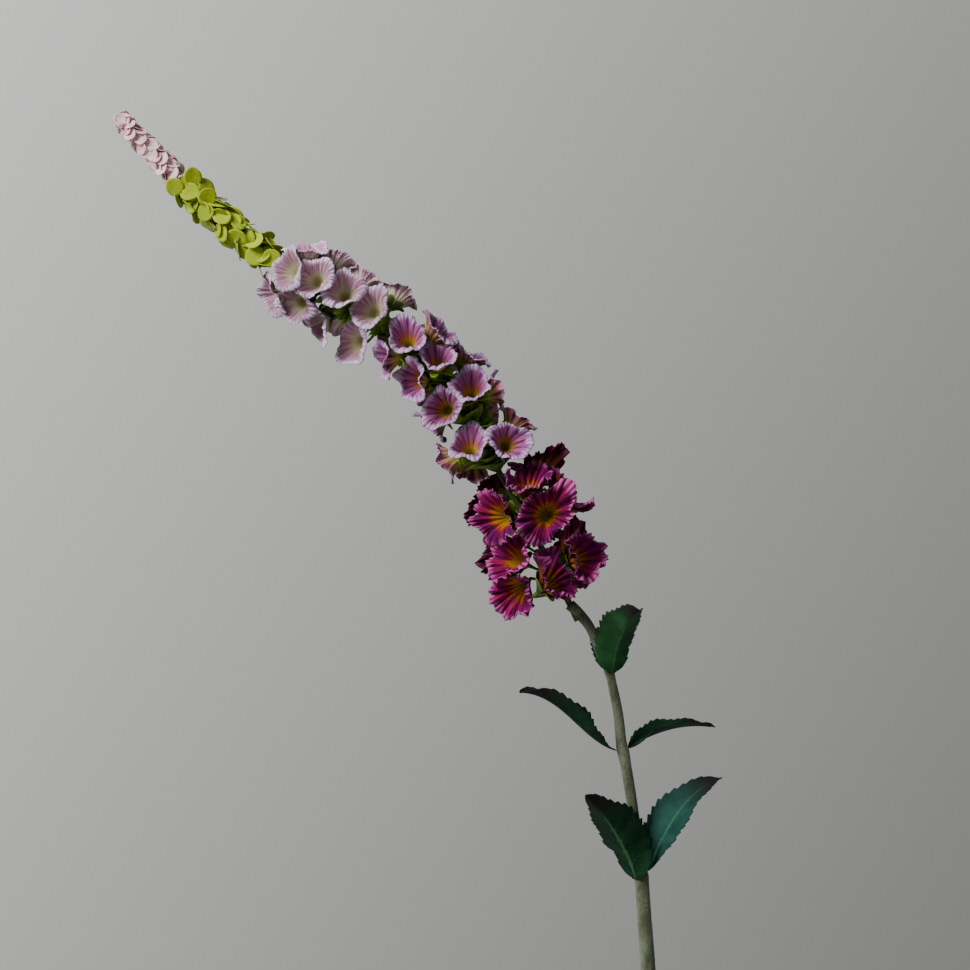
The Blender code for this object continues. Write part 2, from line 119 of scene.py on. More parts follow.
class Route:
    """A smooth curve through given points, measured by its length."""

    def __init__(self, points: Sequence[Sequence[float]], steps: int = 24) -> None:
        """Lays the curve.

        Args:
            points: what it passes through.
            steps: pieces of the curve between two points.
        """
        given = np.array(points, float)
        knots = np.vstack([2 * given[0] - given[1], given, 2 * given[-1] - given[-2]])
        t = (np.arange(steps) / steps)[:, None]
        spans = []
        for a, b, c, d in zip(knots, knots[1:], knots[2:], knots[3:]):
            bend = 2 * a - 5 * b + 4 * c - d
            spans.append((2 * b + (c - a) * t + bend * t**2 + (3 * b - a - 3 * c + d) * t**3) / 2)
        self.points = np.vstack([*spans, given[-1:]])
        pieces = np.linalg.norm(np.diff(self.points, axis=0), axis=1)
        self.stations = np.concatenate([[0], np.cumsum(pieces)])

    def at(self, stations: float | Array) -> Array:
        """The points at these lengths along the curve."""
        return np.stack([np.interp(stations, self.stations, line) for line in self.points.T], axis=-1)

    def along(self, station: float) -> Array:
        """The direction of the curve at a station."""
        return unit(self.at(station + 1) - self.at(station - 1))

    def nearest(self, point: Array) -> float:
        """The station that lies nearest to a point."""
        return float(self.stations[int(np.argmin(np.linalg.norm(self.points - point, axis=1)))])

    def outward(self, station: float, turn: float) -> Array:
        """The direction away from the curve at a turn round it, in radians from the front."""
        along = self.along(station)
        front = unit(FRONT - along * (along @ FRONT))
        return math.cos(turn) * front + math.sin(turn) * np.cross(along, front)

    def spread(self, count: int) -> Array:
        """Points spread evenly along the whole curve."""
        return self.at(np.linspace(0, self.stations[-1], count))


@dataclass
class Skin:
    """A closed surface woven over rings of points, from a pole to a pole.

    The values are numbers or vectors for each point, which the materials read by name.
    """

    rings: Array
    values: dict[str, Array] = field(default_factory=dict)
    start: Array | None = None
    end: Array | None = None

    def points(self) -> Array:
        """Every point: the start pole, the rings and the end pole."""
        start = self.rings[0].mean(axis=0) if self.start is None else self.start
        end = self.rings[-1].mean(axis=0) if self.end is None else self.end
        return np.vstack([start, self.rings.reshape(-1, 3), end])

    def faces(self) -> tuple[Array, Array]:
        """Triangles at the poles and quads between the rings, all facing out."""
        rows, columns = self.rings.shape[:2]
        here = np.arange(columns)
        after = (here + 1) % columns
        low = 1 + columns * np.arange(rows - 1)[:, None]
        high = low + columns
        quads = np.stack([low + here, low + after, high + after, high + here], -1).reshape(-1, 4)
        last = 1 + columns * (rows - 1)
        top = np.full(columns, last + columns)
        fans = np.vstack([
            np.stack([np.zeros(columns, int), 1 + after, 1 + here], -1),
            np.stack([last + here, last + after, top], -1),
        ])
        corners = self.points()
        halves = np.vstack([fans, quads[:, (0, 1, 2)], quads[:, (0, 2, 3)]])
        if np.linalg.det(corners[halves]).sum() < 0:
            return fans[:, ::-1], quads[:, ::-1]
        return fans, quads

    def value(self, name: str) -> Array:
        """One of the values at every point, the poles included."""
        rings = self.values[name]
        flat = rings.reshape(-1, *rings.shape[2:])
        return np.concatenate([rings[:1].mean(axis=1), flat, rings[-1:].mean(axis=1)])


def sweep(points: Array, radii: Array, sides: int) -> Array:
    """Rings round a line.

    Args:
        points: the line.
        radii: a radius for each point, or one for each point and side.
        sides: points in each ring.

    Returns:
        The rings, by point, side and axis.
    """
    along = unit(np.gradient(points, axis=0))
    angles = ring(sides)
    reference = FRONT if abs(along[0] @ FRONT) < 0.9 else UP
    side = unit(np.cross(along[0], reference))
    wide = np.broadcast_to(np.asarray(radii, float).reshape(len(points), -1), (len(points), sides))
    rings = []
    for centre, direction, reach in zip(points, along, wide):
        side = unit(side - direction * (side @ direction))
        other = np.cross(direction, side)
        arms = np.cos(angles)[:, None] * side + np.sin(angles)[:, None] * other
        rings.append(centre + arms * reach[:, None])
    return np.array(rings)


def turned(line: Array, base: Array, facing: Array, columns: int) -> Array:
    """Rings of a turned or fluted form.

    Args:
        line: axial and radial place, by row, or by row and column.
        base: the point that axial places start from.
        facing: the axis.
        columns: points in each ring.
    """
    reference = UP if abs(facing @ UP) < 0.999 else FRONT
    side = unit(np.cross(facing, reference))
    other = np.cross(facing, side)
    angles = ring(columns)
    arms = np.cos(angles)[:, None] * side + np.sin(angles)[:, None] * other
    if line.ndim == 2:
        line = line[:, None, :]
    return base + line[..., :1] * facing + line[..., 1:2] * arms


def shelled(line: Array, thickness: float) -> tuple[Array, Array]:
    """The outer and inner side of a thin shell.

    Args:
        line: rings of the sheet's middle, by row, column and axis.
        thickness: how thick it is.
    """
    down = np.gradient(line, axis=0)
    across = np.roll(line, -1, axis=1) - np.roll(line, 1, axis=1)
    normals = unit(np.cross(across, down))
    return line + normals * thickness / 2, line - normals * thickness / 2


def sided(sheet: Array, thickness: float) -> Array:
    """Rings that close a flat sheet: over its upper side and back under its lower side.

    Args:
        sheet: the sheet's middle, by row, column and axis.
        thickness: how thick it is.
    """
    normals = unit(np.cross(np.gradient(sheet, axis=1), np.gradient(sheet, axis=0)))
    upper = sheet + normals * thickness / 2
    lower = sheet - normals * thickness / 2
    return np.concatenate([upper, lower[:, ::-1]], axis=1)


def dress(name: str, skins: Sequence[Skin], material: Material, node: str) -> None:
    """Makes one piece of skins, rides it on the body and lets it stand for its node.

    Args:
        name: the piece's name.
        skins: its closed surfaces.
        material: its finish.
        node: the node that it stands for.
    """
    points, faces, first = [], [], 0
    for skin in skins:
        corners = skin.points()
        fans, quads = skin.faces()
        faces.extend((fans + first).tolist())
        faces.extend((quads + first).tolist())
        points.append(corners)
        first += len(corners)
    mesh = bpy.data.meshes.new(name)
    mesh.from_pydata(np.vstack(points) * MM, [], faces)
    for key in skins[0].values:
        values = np.concatenate([skin.value(key) for skin in skins]).astype(np.float32)
        kind, field_name = ("FLOAT", "value") if values.ndim == 1 else ("FLOAT_VECTOR", "vector")
        mesh.attributes.new(key, kind, "POINT").data.foreach_set(field_name, values.ravel())
    mesh.materials.append(material)
    mesh.shade_smooth()
    piece = bpy.data.objects.new(name, mesh)
    bpy.context.scene.collection.objects.link(piece)
    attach(piece, BODY)
    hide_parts(node)
    log.info("%s: %d faces", name, len(faces))


class Paint:
    """Lays out the nodes of one material or group in short words."""

    def __init__(self, tree: bpy.types.NodeTree) -> None:
        """Works on this tree."""
        self.tree = tree

    def node(
        self, kind: str, inputs: dict[str | int, Value] | None = None, **settings: object
    ) -> bpy.types.Node:
        """Adds a node.

        Args:
            kind: the node's type, without the leading ShaderNode.
            inputs: constants or sockets, by socket name or number.
            settings: the node's own settings.
        """
        made = self.tree.nodes.new("ShaderNode" + kind)
        for key, value in settings.items():
            setattr(made, key, value)
        for key, value in (inputs or {}).items():
            self.feed(made.inputs[key], value)
        return made

    def feed(self, target: Socket, value: Value) -> None:
        """Links a socket, or sets a constant."""
        if isinstance(value, Socket):
            self.tree.links.new(value, target)
        elif isinstance(value, tuple) and len(target.default_value) == 4:
            target.default_value = (*value, 1)
        else:
            target.default_value = value

    def attribute(self, name: str) -> Socket:
        """A number that the mesh carries."""
        return self.node("Attribute", attribute_name=name).outputs["Fac"]

    def vector(self, name: str) -> Socket:
        """A vector that the mesh carries."""
        return self.node("Attribute", attribute_name=name).outputs["Vector"]

    def parts(self, vector: Socket) -> tuple[Socket, Socket, Socket]:
        """The three numbers of a vector."""
        return tuple(self.node("SeparateXYZ", {0: vector}).outputs)

    def join(self, x: Value, y: Value, z: Value) -> Socket:
        """A vector of three numbers."""
        return self.node("CombineXYZ", {0: x, 1: y, 2: z}).outputs[0]

    def sum(self, operation: str, a: Value, b: Value = 0.0, c: Value = 0.0) -> Socket:
        """One step of arithmetic."""
        return self.node("Math", {0: a, 1: b, 2: c}, operation=operation).outputs[0]

    def times(self, a: Value, b: Value) -> Socket:
        """A product."""
        return self.sum("MULTIPLY", a, b)

    def weigh(self, a: Value, weight: Value, b: Value) -> Socket:
        """A value times its weight, added to another value."""
        return self.sum("MULTIPLY_ADD", a, weight, b)

    def spot(self) -> Socket:
        """The point on the piece, in metres."""
        return self.node("TexCoord").outputs["Object"]

    def stretch(self, vector: Socket, factors: Colour) -> Socket:
        """A vector scaled on each axis."""
        return self.node("VectorMath", {0: vector, 1: factors}, operation="MULTIPLY").outputs[0]

    def band(
        self, value: Value, low: float, high: float, start: float = 0.0, end: float = 1.0
    ) -> Socket:
        """A smooth step of a value from start at low to end at high."""
        inputs = {"Value": value, "From Min": low, "From Max": high, "To Min": start, "To Max": end}
        return self.node("MapRange", inputs, interpolation_type="SMOOTHSTEP").outputs[0]

    def noise(self, vector: Socket, scale: float, detail: float = 3.0, rough: float = 0.5) -> Socket:
        """Cloudy noise between 0 and 1."""
        inputs = {"Vector": vector, "Scale": scale, "Detail": detail, "Roughness": rough}
        return self.node("TexNoise", inputs).outputs["Fac"]

    def mix(self, share: Value, a: Value, b: Value, kind: str = "MIX") -> Socket:
        """A mix of two colours."""
        made = self.node("Mix", data_type="RGBA", blend_type=kind)
        for socket, value in ((made.inputs[0], share), (made.inputs[6], a), (made.inputs[7], b)):
            self.feed(socket, value)
        return made.outputs[2]

    def fade(
        self, value: Value, low: float, high: float, a: Value, b: Value, amount: float = 1.0
    ) -> Socket:
        """A colour that goes from a, where the value is low, towards b, where it is high."""
        return self.mix(self.band(value, low, high, 0.0, amount), a, b)

    def place(self, group: bpy.types.NodeTree, inputs: dict[str, Value]) -> Socket:
        """Places a group and gives its first output."""
        made = self.node("Group")
        made.node_tree = group
        for key, value in inputs.items():
            self.feed(made.inputs[key], value)
        return made.outputs[0]


def new_group(name: str, inputs: dict[str, str], output: str) -> tuple[Paint, bpy.types.Node, Socket]:
    """Starts a node group with named sockets.

    Args:
        name: the group's name.
        inputs: kind of socket, Float or Vector, by name.
        output: the name of its one number.

    Returns:
        The paint for its tree, its input node and the socket that takes its result.
    """
    tree = bpy.data.node_groups.new(name, "ShaderNodeTree")
    for key, kind in inputs.items():
        tree.interface.new_socket(key, in_out="INPUT", socket_type="NodeSocket" + kind)
    tree.interface.new_socket(output, in_out="OUTPUT", socket_type="NodeSocketFloat")
    paint = Paint(tree)
    given = tree.nodes.new("NodeGroupInput")
    return paint, given, tree.nodes.new("NodeGroupOutput").inputs[0]


class Effects:
    """The effects that several finishes share, each made once."""

    def __init__(self) -> None:
        """Builds every group."""
        self.weave = self.make_weave()
        self.streaks = self.make_streaks()
        self.specks = self.make_specks()

    def make_weave(self) -> bpy.types.NodeTree:
        """Height of a plain weave, from two lengths in thread widths."""
        paint, given, result = new_group("plain_weave", {"Warp": "Float", "Weft": "Float"}, "Height")
        warp = paint.sum("SINE", paint.times(given.outputs["Warp"], math.pi))
        weft = paint.sum("SINE", paint.times(given.outputs["Weft"], math.pi))
        paint.feed(result, paint.weigh(paint.times(warp, weft), 0.5, 0.5))
        return paint.tree

    def make_streaks(self) -> bpy.types.NodeTree:
        """Dye streaks that run up a flower: 0 in the dark ones and 1 between them."""
        inputs = {"Around": "Vector", "Own": "Float", "Fineness": "Float"}
        paint, given, result = new_group("dye_streaks", inputs, "Mask")
        x, y, share = paint.parts(given.outputs["Around"])
        fine = given.outputs["Fineness"]
        own = paint.times(given.outputs["Own"], 37.0)
        spot = paint.join(paint.weigh(x, fine, own), paint.times(y, fine), paint.times(share, 1.6))
        paint.feed(result, paint.band(paint.noise(spot, 1.0, 4.0, 0.6), 0.36, 0.64))
        return paint.tree

    def make_specks(self) -> bpy.types.NodeTree:
        """Small scattered specks: 1 in a speck and 0 between them."""
        inputs = {"Spot": "Vector", "Density": "Float", "Size": "Float"}
        paint, given, result = new_group("scattered_specks", inputs, "Mask")
        spot = given.outputs["Spot"]
        cells = paint.node("TexVoronoi", {"Vector": spot, "Scale": given.outputs["Density"]})
        ragged = paint.noise(spot, 900.0, 2.0)
        reach = paint.times(given.outputs["Size"], ragged)
        hit = paint.sum("SUBTRACT", reach, cells.outputs["Distance"])
        paint.feed(result, paint.band(hit, -0.03, 0.05))
        return paint.tree


class Surface(Paint):
    """The paint of one material, with its shader."""

    def __init__(self, name: str, roughness: float, sheen: float = 0.0, gloss: float = 0.25) -> None:
        """Starts the material.

        Args:
            name: the material's name.
            roughness: of its surface.
            sheen: how much soft light its fibres give back.
            gloss: how strongly it mirrors.
        """
        self.material = bpy.data.materials.new(name)
        self.material.use_nodes = True
        super().__init__(self.material.node_tree)
        self.shader = self.tree.nodes["Principled BSDF"]
        self.set("Roughness", roughness)
        self.set("Sheen Weight", sheen)
        self.set("Sheen Roughness", 0.5)
        self.set("Specular IOR Level", gloss)

    def set(self, name: str, value: Value) -> None:
        """Sets or links one input of the shader."""
        self.feed(self.shader.inputs[name], value)

    def bumps(self, height: Socket, distance: float, strength: float) -> None:
        """Raises the surface by a height times a distance in millimetres."""
        inputs = {"Height": height, "Distance": distance * MM, "Strength": strength}
        self.set("Normal", self.node("Bump", inputs).outputs[0])


@dataclass(frozen=True)
class PetalFinish:
    """The dye of one kind of floret, from the throat to the rim, and painted shade in folds and crimps."""

    name: str
    deep: Colour
    throat: Colour
    blush: Colour
    fold_shade_and_dark_streak: Colour
    fold_lit_and_pale_streak: Colour
    violet: Colour
    violet_amount: float
    crimp_shade: Colour
    rim: Colour
    back_low: Colour
    back_high: Colour
    back_rim: float
    throat_end: float
    throat_reach: float
    rim_start: float
    fineness: float
    sheen: float
    thread: float = 0.3

    def material(self, effects: Effects) -> Material:
        """Crimped, dyed cloth, with painted shade where its folds and crimps dip."""
        paint = Surface(self.name, 0.85, self.sheen, 0.12)
        around = paint.vector("petal")
        x, y, share = paint.parts(around)
        fold, crimp, side = paint.parts(paint.vector("folds"))
        own = paint.attribute("own")
        other = paint.sum("ADD", own, 0.37)
        broad, fine, patch = (
            paint.place(effects.streaks, {"Around": around, "Own": shift, "Fineness": fineness})
            for shift, fineness in (
                (own, self.fineness), (other, self.fineness * 3.2), (other, self.fineness * 0.4)
            )
        )
        # Painted shade: where the folds dip the cloth takes the darker colour, and on their humps the paler
        # one, mixed with the dye streaks.
        ridge = paint.band(fold, -1.0, 0.4)
        small = paint.band(crimp, -1.0, 0.3)
        light = paint.weigh(fine, 0.28, paint.times(ridge, 0.34))
        light = paint.band(paint.weigh(broad, 0.38, light), 0.18, 0.82)
        petal = paint.mix(light, self.fold_shade_and_dark_streak, self.fold_lit_and_pale_streak)
        petal = paint.mix(paint.times(patch, self.violet_amount), petal, self.violet)
        reach = paint.weigh(ridge, 0.35, paint.times(broad, 0.65))
        flame = paint.weigh(reach, -self.throat_reach, share)
        end = self.throat_end
        cup = paint.fade(share, 0.08, end, self.deep, self.throat)
        warm = paint.fade(flame, end - 0.16, end + 0.04, cup, self.blush)
        inner = paint.fade(flame, end - 0.06, end + 0.18, warm, petal)
        frayed = paint.weigh(fine, 0.08, paint.weigh(patch, -0.08, share))
        # Painted shade: in the dips of the crimps the rim takes the crimp shade colour instead of its dye.
        border = paint.mix(small, self.crimp_shade, self.rim)
        inner = paint.fade(frayed, self.rim_start, self.rim_start + 0.12, inner, border)
        # Painted shade in the dips of the folds on the outer side as well.
        high = paint.mix(light, self.fold_shade_and_dark_streak, self.back_high)
        back = paint.fade(flame, 0.18, 0.72, self.back_low, high)
        frilled = paint.band(frayed, self.rim_start + 0.02, self.rim_start + 0.14, 0.0, self.back_rim)
        back = paint.mix(frilled, back, border)
        colour = paint.fade(side, -0.2, 0.2, back, inner)
        shade = paint.band(own, 0.0, 1.0, 0.84, 1.10)
        colour = paint.mix(1.0, colour, paint.join(shade, shade, shade), "MULTIPLY")
        paint.set("Base Color", colour)
        turn = paint.times(paint.sum("ARCTAN2", y, x), 60.0 / self.thread / math.tau)
        length = paint.times(share, 20.0 / self.thread)
        threads = paint.place(effects.weave, {"Warp": turn, "Weft": length})
        crease = paint.weigh(fine, 0.7, paint.times(threads, 0.22))
        paint.bumps(crease, 0.35, 0.7)
        return paint.material


@dataclass(frozen=True)
class LeafFinish:
    """Printed leaf cloth with pressed veins."""

    name: str = "leaf_cloth"
    blade: Colour = (0.0025, 0.023, 0.009)
    young: Colour = (0.008, 0.055, 0.021)
    vein: Colour = (0.060, 0.175, 0.070)
    margin: Colour = (0.016, 0.011, 0.014)

    def material(self, effects: Effects) -> Material:
        """Deep green, lighter at the midrib and purple-dark at the teeth."""
        paint = Surface(self.name, 0.72, 0.0, 0.12)
        across, share, relief = paint.parts(paint.vector("blade"))
        cloud = paint.noise(paint.spot(), 55.0, 4.0, 0.6)
        side = paint.sum("ABSOLUTE", across)
        colour = paint.fade(cloud, 0.4, 0.7, self.blade, self.young)
        ribs = paint.times(paint.band(relief, 0.25, 1.0), 0.75)
        colour = paint.mix(ribs, colour, self.vein)
        ragged = paint.weigh(cloud, 0.35, side)
        colour = paint.fade(ragged, 1.08, 1.3, colour, self.margin)
        tip = paint.weigh(cloud, 0.3, share)
        colour = paint.fade(tip, 0.70, 1.08, colour, self.margin)
        paint.set("Base Color", colour)
        warp = paint.times(across, 55.0)
        weft = paint.times(share, 260.0)
        threads = paint.place(effects.weave, {"Warp": warp, "Weft": weft})
        grain = paint.weigh(cloud, 0.8, paint.times(threads, 0.3))
        paint.bumps(grain, 0.3, 0.5)
        return paint.material


@dataclass(frozen=True)
class FlockFinish:
    """Short grey-green fibres over the plastic stem."""

    base: Colour = (0.070, 0.086, 0.042)
    pale: Colour = (0.190, 0.220, 0.145)
    dark: Colour = (0.026, 0.034, 0.014)

    def material(self, effects: Effects) -> Material:
        """Mottled flock, worn darker here and there."""
        paint = Surface("stem_flocking", 0.95, 0.3)
        spot = paint.spot()
        long_spot = paint.stretch(spot, (1.0, 1.0, 0.5))
        patches = paint.noise(long_spot, 70.0, 4.0, 0.6)
        fibres = paint.noise(spot, 700.0, 3.0, 0.7)
        colour = paint.fade(patches, 0.38, 0.66, self.base, self.pale)
        colour = paint.fade(fibres, 0.52, 0.66, colour, self.dark, 0.65)
        colour = paint.fade(patches, 0.44, 0.33, colour, self.dark, 0.8)
        paint.set("Base Color", colour)
        paint.bumps(fibres, 0.35, 0.8)
        return paint.material


@dataclass(frozen=True)
class CalyxFinish:
    """Moulded green plastic: stalks, calyces and the wire's sleeve."""

    name: str
    low: Colour
    high: Colour
    tip: Colour
    tip_amount: float

    def material(self) -> Material:
        """Green that turns brighter up the lobes, with faint ribs."""
        paint = Surface(self.name, 0.55)
        x, y, share = paint.parts(paint.vector("lobe"))
        cloud = paint.noise(paint.spot(), 160.0, 3.0, 0.6)
        own = paint.attribute("own")
        tone = paint.weigh(cloud, 0.5, paint.weigh(own, 0.2, share))
        colour = paint.fade(tone, 0.4, 1.15, self.low, self.high)
        colour = paint.fade(tone, 1.1, 1.5, colour, self.tip, self.tip_amount)
        paint.set("Base Color", colour)
        ribs = paint.noise(paint.join(paint.times(x, 5.0), paint.times(y, 5.0), share), 1.5, 3.0)
        paint.bumps(ribs, 0.5, 0.5)
        return paint.material


@dataclass(frozen=True)
class DiscFinish:
    """Thin dyed cloth of a disc or small petal."""

    name: str
    shade: Colour
    base: Colour
    pale: Colour
    roughness: float = 0.7

    def material(self, effects: Effects) -> Material:
        """Even dye with paler and darker discs, and a paler cut edge."""
        paint = Surface(self.name, self.roughness, 0.2)
        x, y, radius = paint.parts(paint.vector("disc"))
        own = paint.attribute("own")
        cloud = paint.noise(paint.spot(), 220.0, 3.0, 0.6)
        tone = paint.weigh(cloud, 0.6, paint.times(own, 0.7))
        colour = paint.fade(tone, 0.25, 1.05, self.base, self.pale)
        colour = paint.fade(radius, 0.0, -0.2, colour, self.shade)
        colour = paint.fade(radius, 0.93, 1.0, colour, self.pale, 0.6)
        paint.set("Base Color", colour)
        threads = paint.place(effects.weave, {"Warp": paint.times(x, 34.0), "Weft": paint.times(y, 34.0)})
        paint.bumps(paint.weigh(cloud, 0.6, threads), 0.2, 0.4)
        return paint.material


@dataclass(frozen=True)
class StonewareFinish:
    """A dry oatmeal glaze with iron specks over warm clay."""

    glaze: Colour = (0.560, 0.530, 0.470)
    thick: Colour = (0.680, 0.660, 0.610)
    thin: Colour = (0.400, 0.345, 0.275)
    clay: Colour = (0.270, 0.190, 0.125)
    iron: Colour = (0.070, 0.045, 0.030)
    bare: float = 4.0

    def material(self, effects: Effects) -> Material:
        """Glaze that thins over ridges and the lip, and stops above the foot."""
        paint = Surface("stoneware_glaze", 0.5, 0.0, 0.4)
        spot = paint.spot()
        height = paint.parts(spot)[2]
        cloud = paint.noise(spot, 14.0, 5.0, 0.6)
        rings = paint.noise(paint.stretch(spot, (2.0, 2.0, 150.0)), 1.0, 3.0, 0.5)
        colour = paint.fade(cloud, 0.35, 0.68, self.glaze, self.thick)
        colour = paint.fade(rings, 0.55, 0.78, colour, self.thin, 0.5)
        lip = paint.weigh(cloud, 0.006, height)
        colour = paint.fade(lip, 0.2575, 0.2625, colour, self.thin, 0.75)
        fine = paint.place(effects.specks, {"Spot": spot, "Density": 330.0, "Size": 0.42})
        coarse = paint.place(effects.specks, {"Spot": spot, "Density": 120.0, "Size": 0.30})
        colour = paint.mix(paint.times(fine, 0.7), colour, self.iron)
        colour = paint.mix(paint.times(coarse, 0.8), colour, self.iron)
        drawn = paint.weigh(cloud, 0.004, self.bare * MM - 0.002)
        bare = paint.band(paint.sum("SUBTRACT", height, drawn), 0.0004, -0.0004)
        colour = paint.mix(bare, colour, self.clay)
        paint.set("Base Color", colour)
        paint.set("Roughness", paint.band(bare, 0.0, 1.0, 0.5, 0.9))
        grain = paint.noise(spot, 900.0, 3.0, 0.6)
        paint.bumps(paint.weigh(grain, 0.15, paint.times(rings, 0.8)), 0.35, 0.6)
        return paint.material


class Kind(Enum):
    """The kinds of floret, from the tip down."""

    LILAC = "lilac"
    MAUVE = "mauve"
    MAGENTA = "magenta"


@dataclass(frozen=True)
class Place:
    """Where a floret sits: its base, the way that it faces, and the line of its stalk."""

    base: Array
    facing: Array
    root: Array
    bend: Array


@dataclass(frozen=True)
class Bloom:
    """One kind of floret: its size, its cloth, and the places that it takes on the spike.

    A place is a station along the spike, a turn round it from the front, the reach of the rim's centre
    from the axis, the lean of the flower away from the axis, and its swing round the spike. The cup is
    axial and radial places, as shares of the depth and radius, and the lip goes on from its end.
    Bracts and other florets' calyces stay clear of the cup by the margin, and past its ends by the ends.
    """

    radius: float
    depth: float
    neck: float
    run: float
    cup: tuple[tuple[float, float], ...]
    lip: float
    roll: tuple[float, float]
    corners: int
    folds: int
    fold: float
    crimps: int
    crimp: float
    lobe: float
    squeeze: float
    jag: float
    calyx_lobe: float
    calyx_flare: tuple[float, float]
    vary: float
    places: tuple[tuple[float, ...], ...]
    margin: float = 0.8
    ends: tuple[float, float] = (0.5, 1.0)

    def place(self, spike: Route, row: Sequence[float]) -> Place:
        """Turns one row of places into points."""
        station, turn, reach, lean, swing = row
        turn, lean, swing = (math.radians(angle) for angle in (turn, lean, swing))
        along, outward = spike.along(station), spike.outward(station, turn)
        away = math.cos(swing) * outward + math.sin(swing) * np.cross(along, outward)
        facing = math.cos(lean) * along + math.sin(lean) * away
        base = spike.at(station) + outward * reach - facing * self.depth
        foot = base - facing * self.neck
        foot_station = spike.nearest(foot)
        root_station = max(LOWEST_ROOT, foot_station - self.run)
        aside = unit(foot - spike.at(foot_station))
        bend = spike.at((root_station + foot_station) / 2) + aside * WIRE_RADIUS * STALK_BOW
        return Place(base, facing, spike.at(root_station), bend)

    def slack(self) -> float:
        """How far the cloth may stand outside the cup's line at half its length."""
        folds = 0.9 * self.fold
        oval = 0.45 * self.squeeze * self.radius
        waves_in_rim = 0.2 * self.lobe
        return folds + oval + waves_in_rim

    def cup_line(self, rows: int) -> Array:
        """Axial and radial places down the middle of the cup's cloth."""
        scaled = [(axial * self.depth, radial * self.radius, 0) for axial, radial in self.cup]
        return Route(scaled, 8).spread(rows)[:, :2]

    def holds(self, place: Place, points: Array) -> bool:
        """Whether any of these points is inside the cup, or nearly."""
        line = self.cup_line(12)
        apart = points - place.base
        axial = apart @ place.facing
        radial = np.linalg.norm(apart - axial[:, None] * place.facing, axis=1)
        room = np.interp(axial, line[:, 0], line[:, 1]) + self.margin + 0.5 * self.slack()
        below, above = self.ends
        return bool(np.any((axial > -below) & (axial < self.depth + above) & (radial < room)))


Seat = tuple[Bloom, Place]

BLOOMS = {
    Kind.LILAC: Bloom(
        radius=12.4, depth=13, neck=4.0, run=6,
        cup=((0, 0), (0.01, 0.13), (0.12, 0.26), (0.30, 0.42), (0.50, 0.56), (0.70, 0.71), (0.86, 0.86)),
        lip=0.29, roll=(55, 175), corners=1, folds=15, fold=0.35, crimps=34, crimp=0.34, lobe=1.8,
        squeeze=0.12, jag=0.3, calyx_lobe=7.0, calyx_flare=(15, 75), vary=0.05,
        places=(
            (292, -3, 21, 50, -5), (274, 6, 24, 70, 0), (288, 58, 22, 60, 15), (278, -60, 22, 65, 35),
            (294, -85, 22, 50, 25), (254, 17, 22, 75, 10), (234, 11, 22, 60, 0), (270, 85, 23, 83, 14),
            (247, 90, 22, 88, 9), (222, 90, 23, 90, 25), (260, -90, 23, 58, 32), (234, -88, 22, 58, 58),
            (245, 150, 21, 70, 0), (250, -150, 21, 70, 0), (275, 138, 22, 65, 0),
            (276, -135, 22, 62, 0),
        ),
    ),
    Kind.MAUVE: Bloom(
        radius=13, depth=16, neck=4.5, run=7,
        cup=((0, 0), (0.01, 0.12), (0.12, 0.24), (0.30, 0.38), (0.50, 0.52), (0.70, 0.68), (0.85, 0.83)),
        lip=0.27, roll=(55, 145), corners=2, folds=12, fold=0.6, crimps=32, crimp=0.3, lobe=2.2,
        squeeze=0.14, jag=0.3, calyx_lobe=9.5, calyx_flare=(15, 80), vary=0.06,
        places=(
            (205, 7, 25, 65, 20), (193, 62, 25, 85, 10), (183, 18, 25, 56, 30), (209, -57, 25, 46, -15),
            (183, -44, 25, 53, 5), (170, 90, 26, 67, -5), (156, 30, 25, 54, 0), (143, 90, 26, 100, 5),
            (154, -31, 25, 72, 18), (147, -90, 27, 96, 0), (125, -20, 25, 53, 35),
            (113, 38, 25, 80, -15), (123, 90, 28, 64, 14), (119, -90, 30, 88, -12),
            (104, -138, 25, 142, 17), (135, 165, 25, 75, 0), (165, -150, 25, 75, 0),
            (180, 150, 25, 70, 0), (208, -170, 24, 70, 0),
        ),
    ),
    Kind.MAGENTA: Bloom(
        radius=16.5, depth=18, neck=5.5, run=20,
        cup=((0, 0), (0.02, 0.10), (0.12, 0.20), (0.30, 0.33), (0.48, 0.47), (0.66, 0.63), (0.80, 0.80)),
        lip=0.36, roll=(15, 130), corners=3, folds=14, fold=1.5, crimps=42, crimp=0.75, lobe=3.8,
        squeeze=0.18, jag=1.1, calyx_lobe=11.0, calyx_flare=(5, 60), vary=0.06,
        places=(
            (75, -35, 31, 70, 0), (87, 34, 26, 33, 24), (90, 130, 33, 40, 10), (60, 22, 35, 85, -20),
            (65, 94, 34, 80, 2), (26, 58, 29, 90, 0), (22, 2, 31, 74, 57), (48, -48, 30, 50, 10),
            (22, -80, 33, 98, 28), (26, 145, 32, 88, 0), (58, 170, 32, 80, 0), (83, -152, 32, 72, 0),
            (53, -110, 32, 75, 0),
        ),
    ),
}

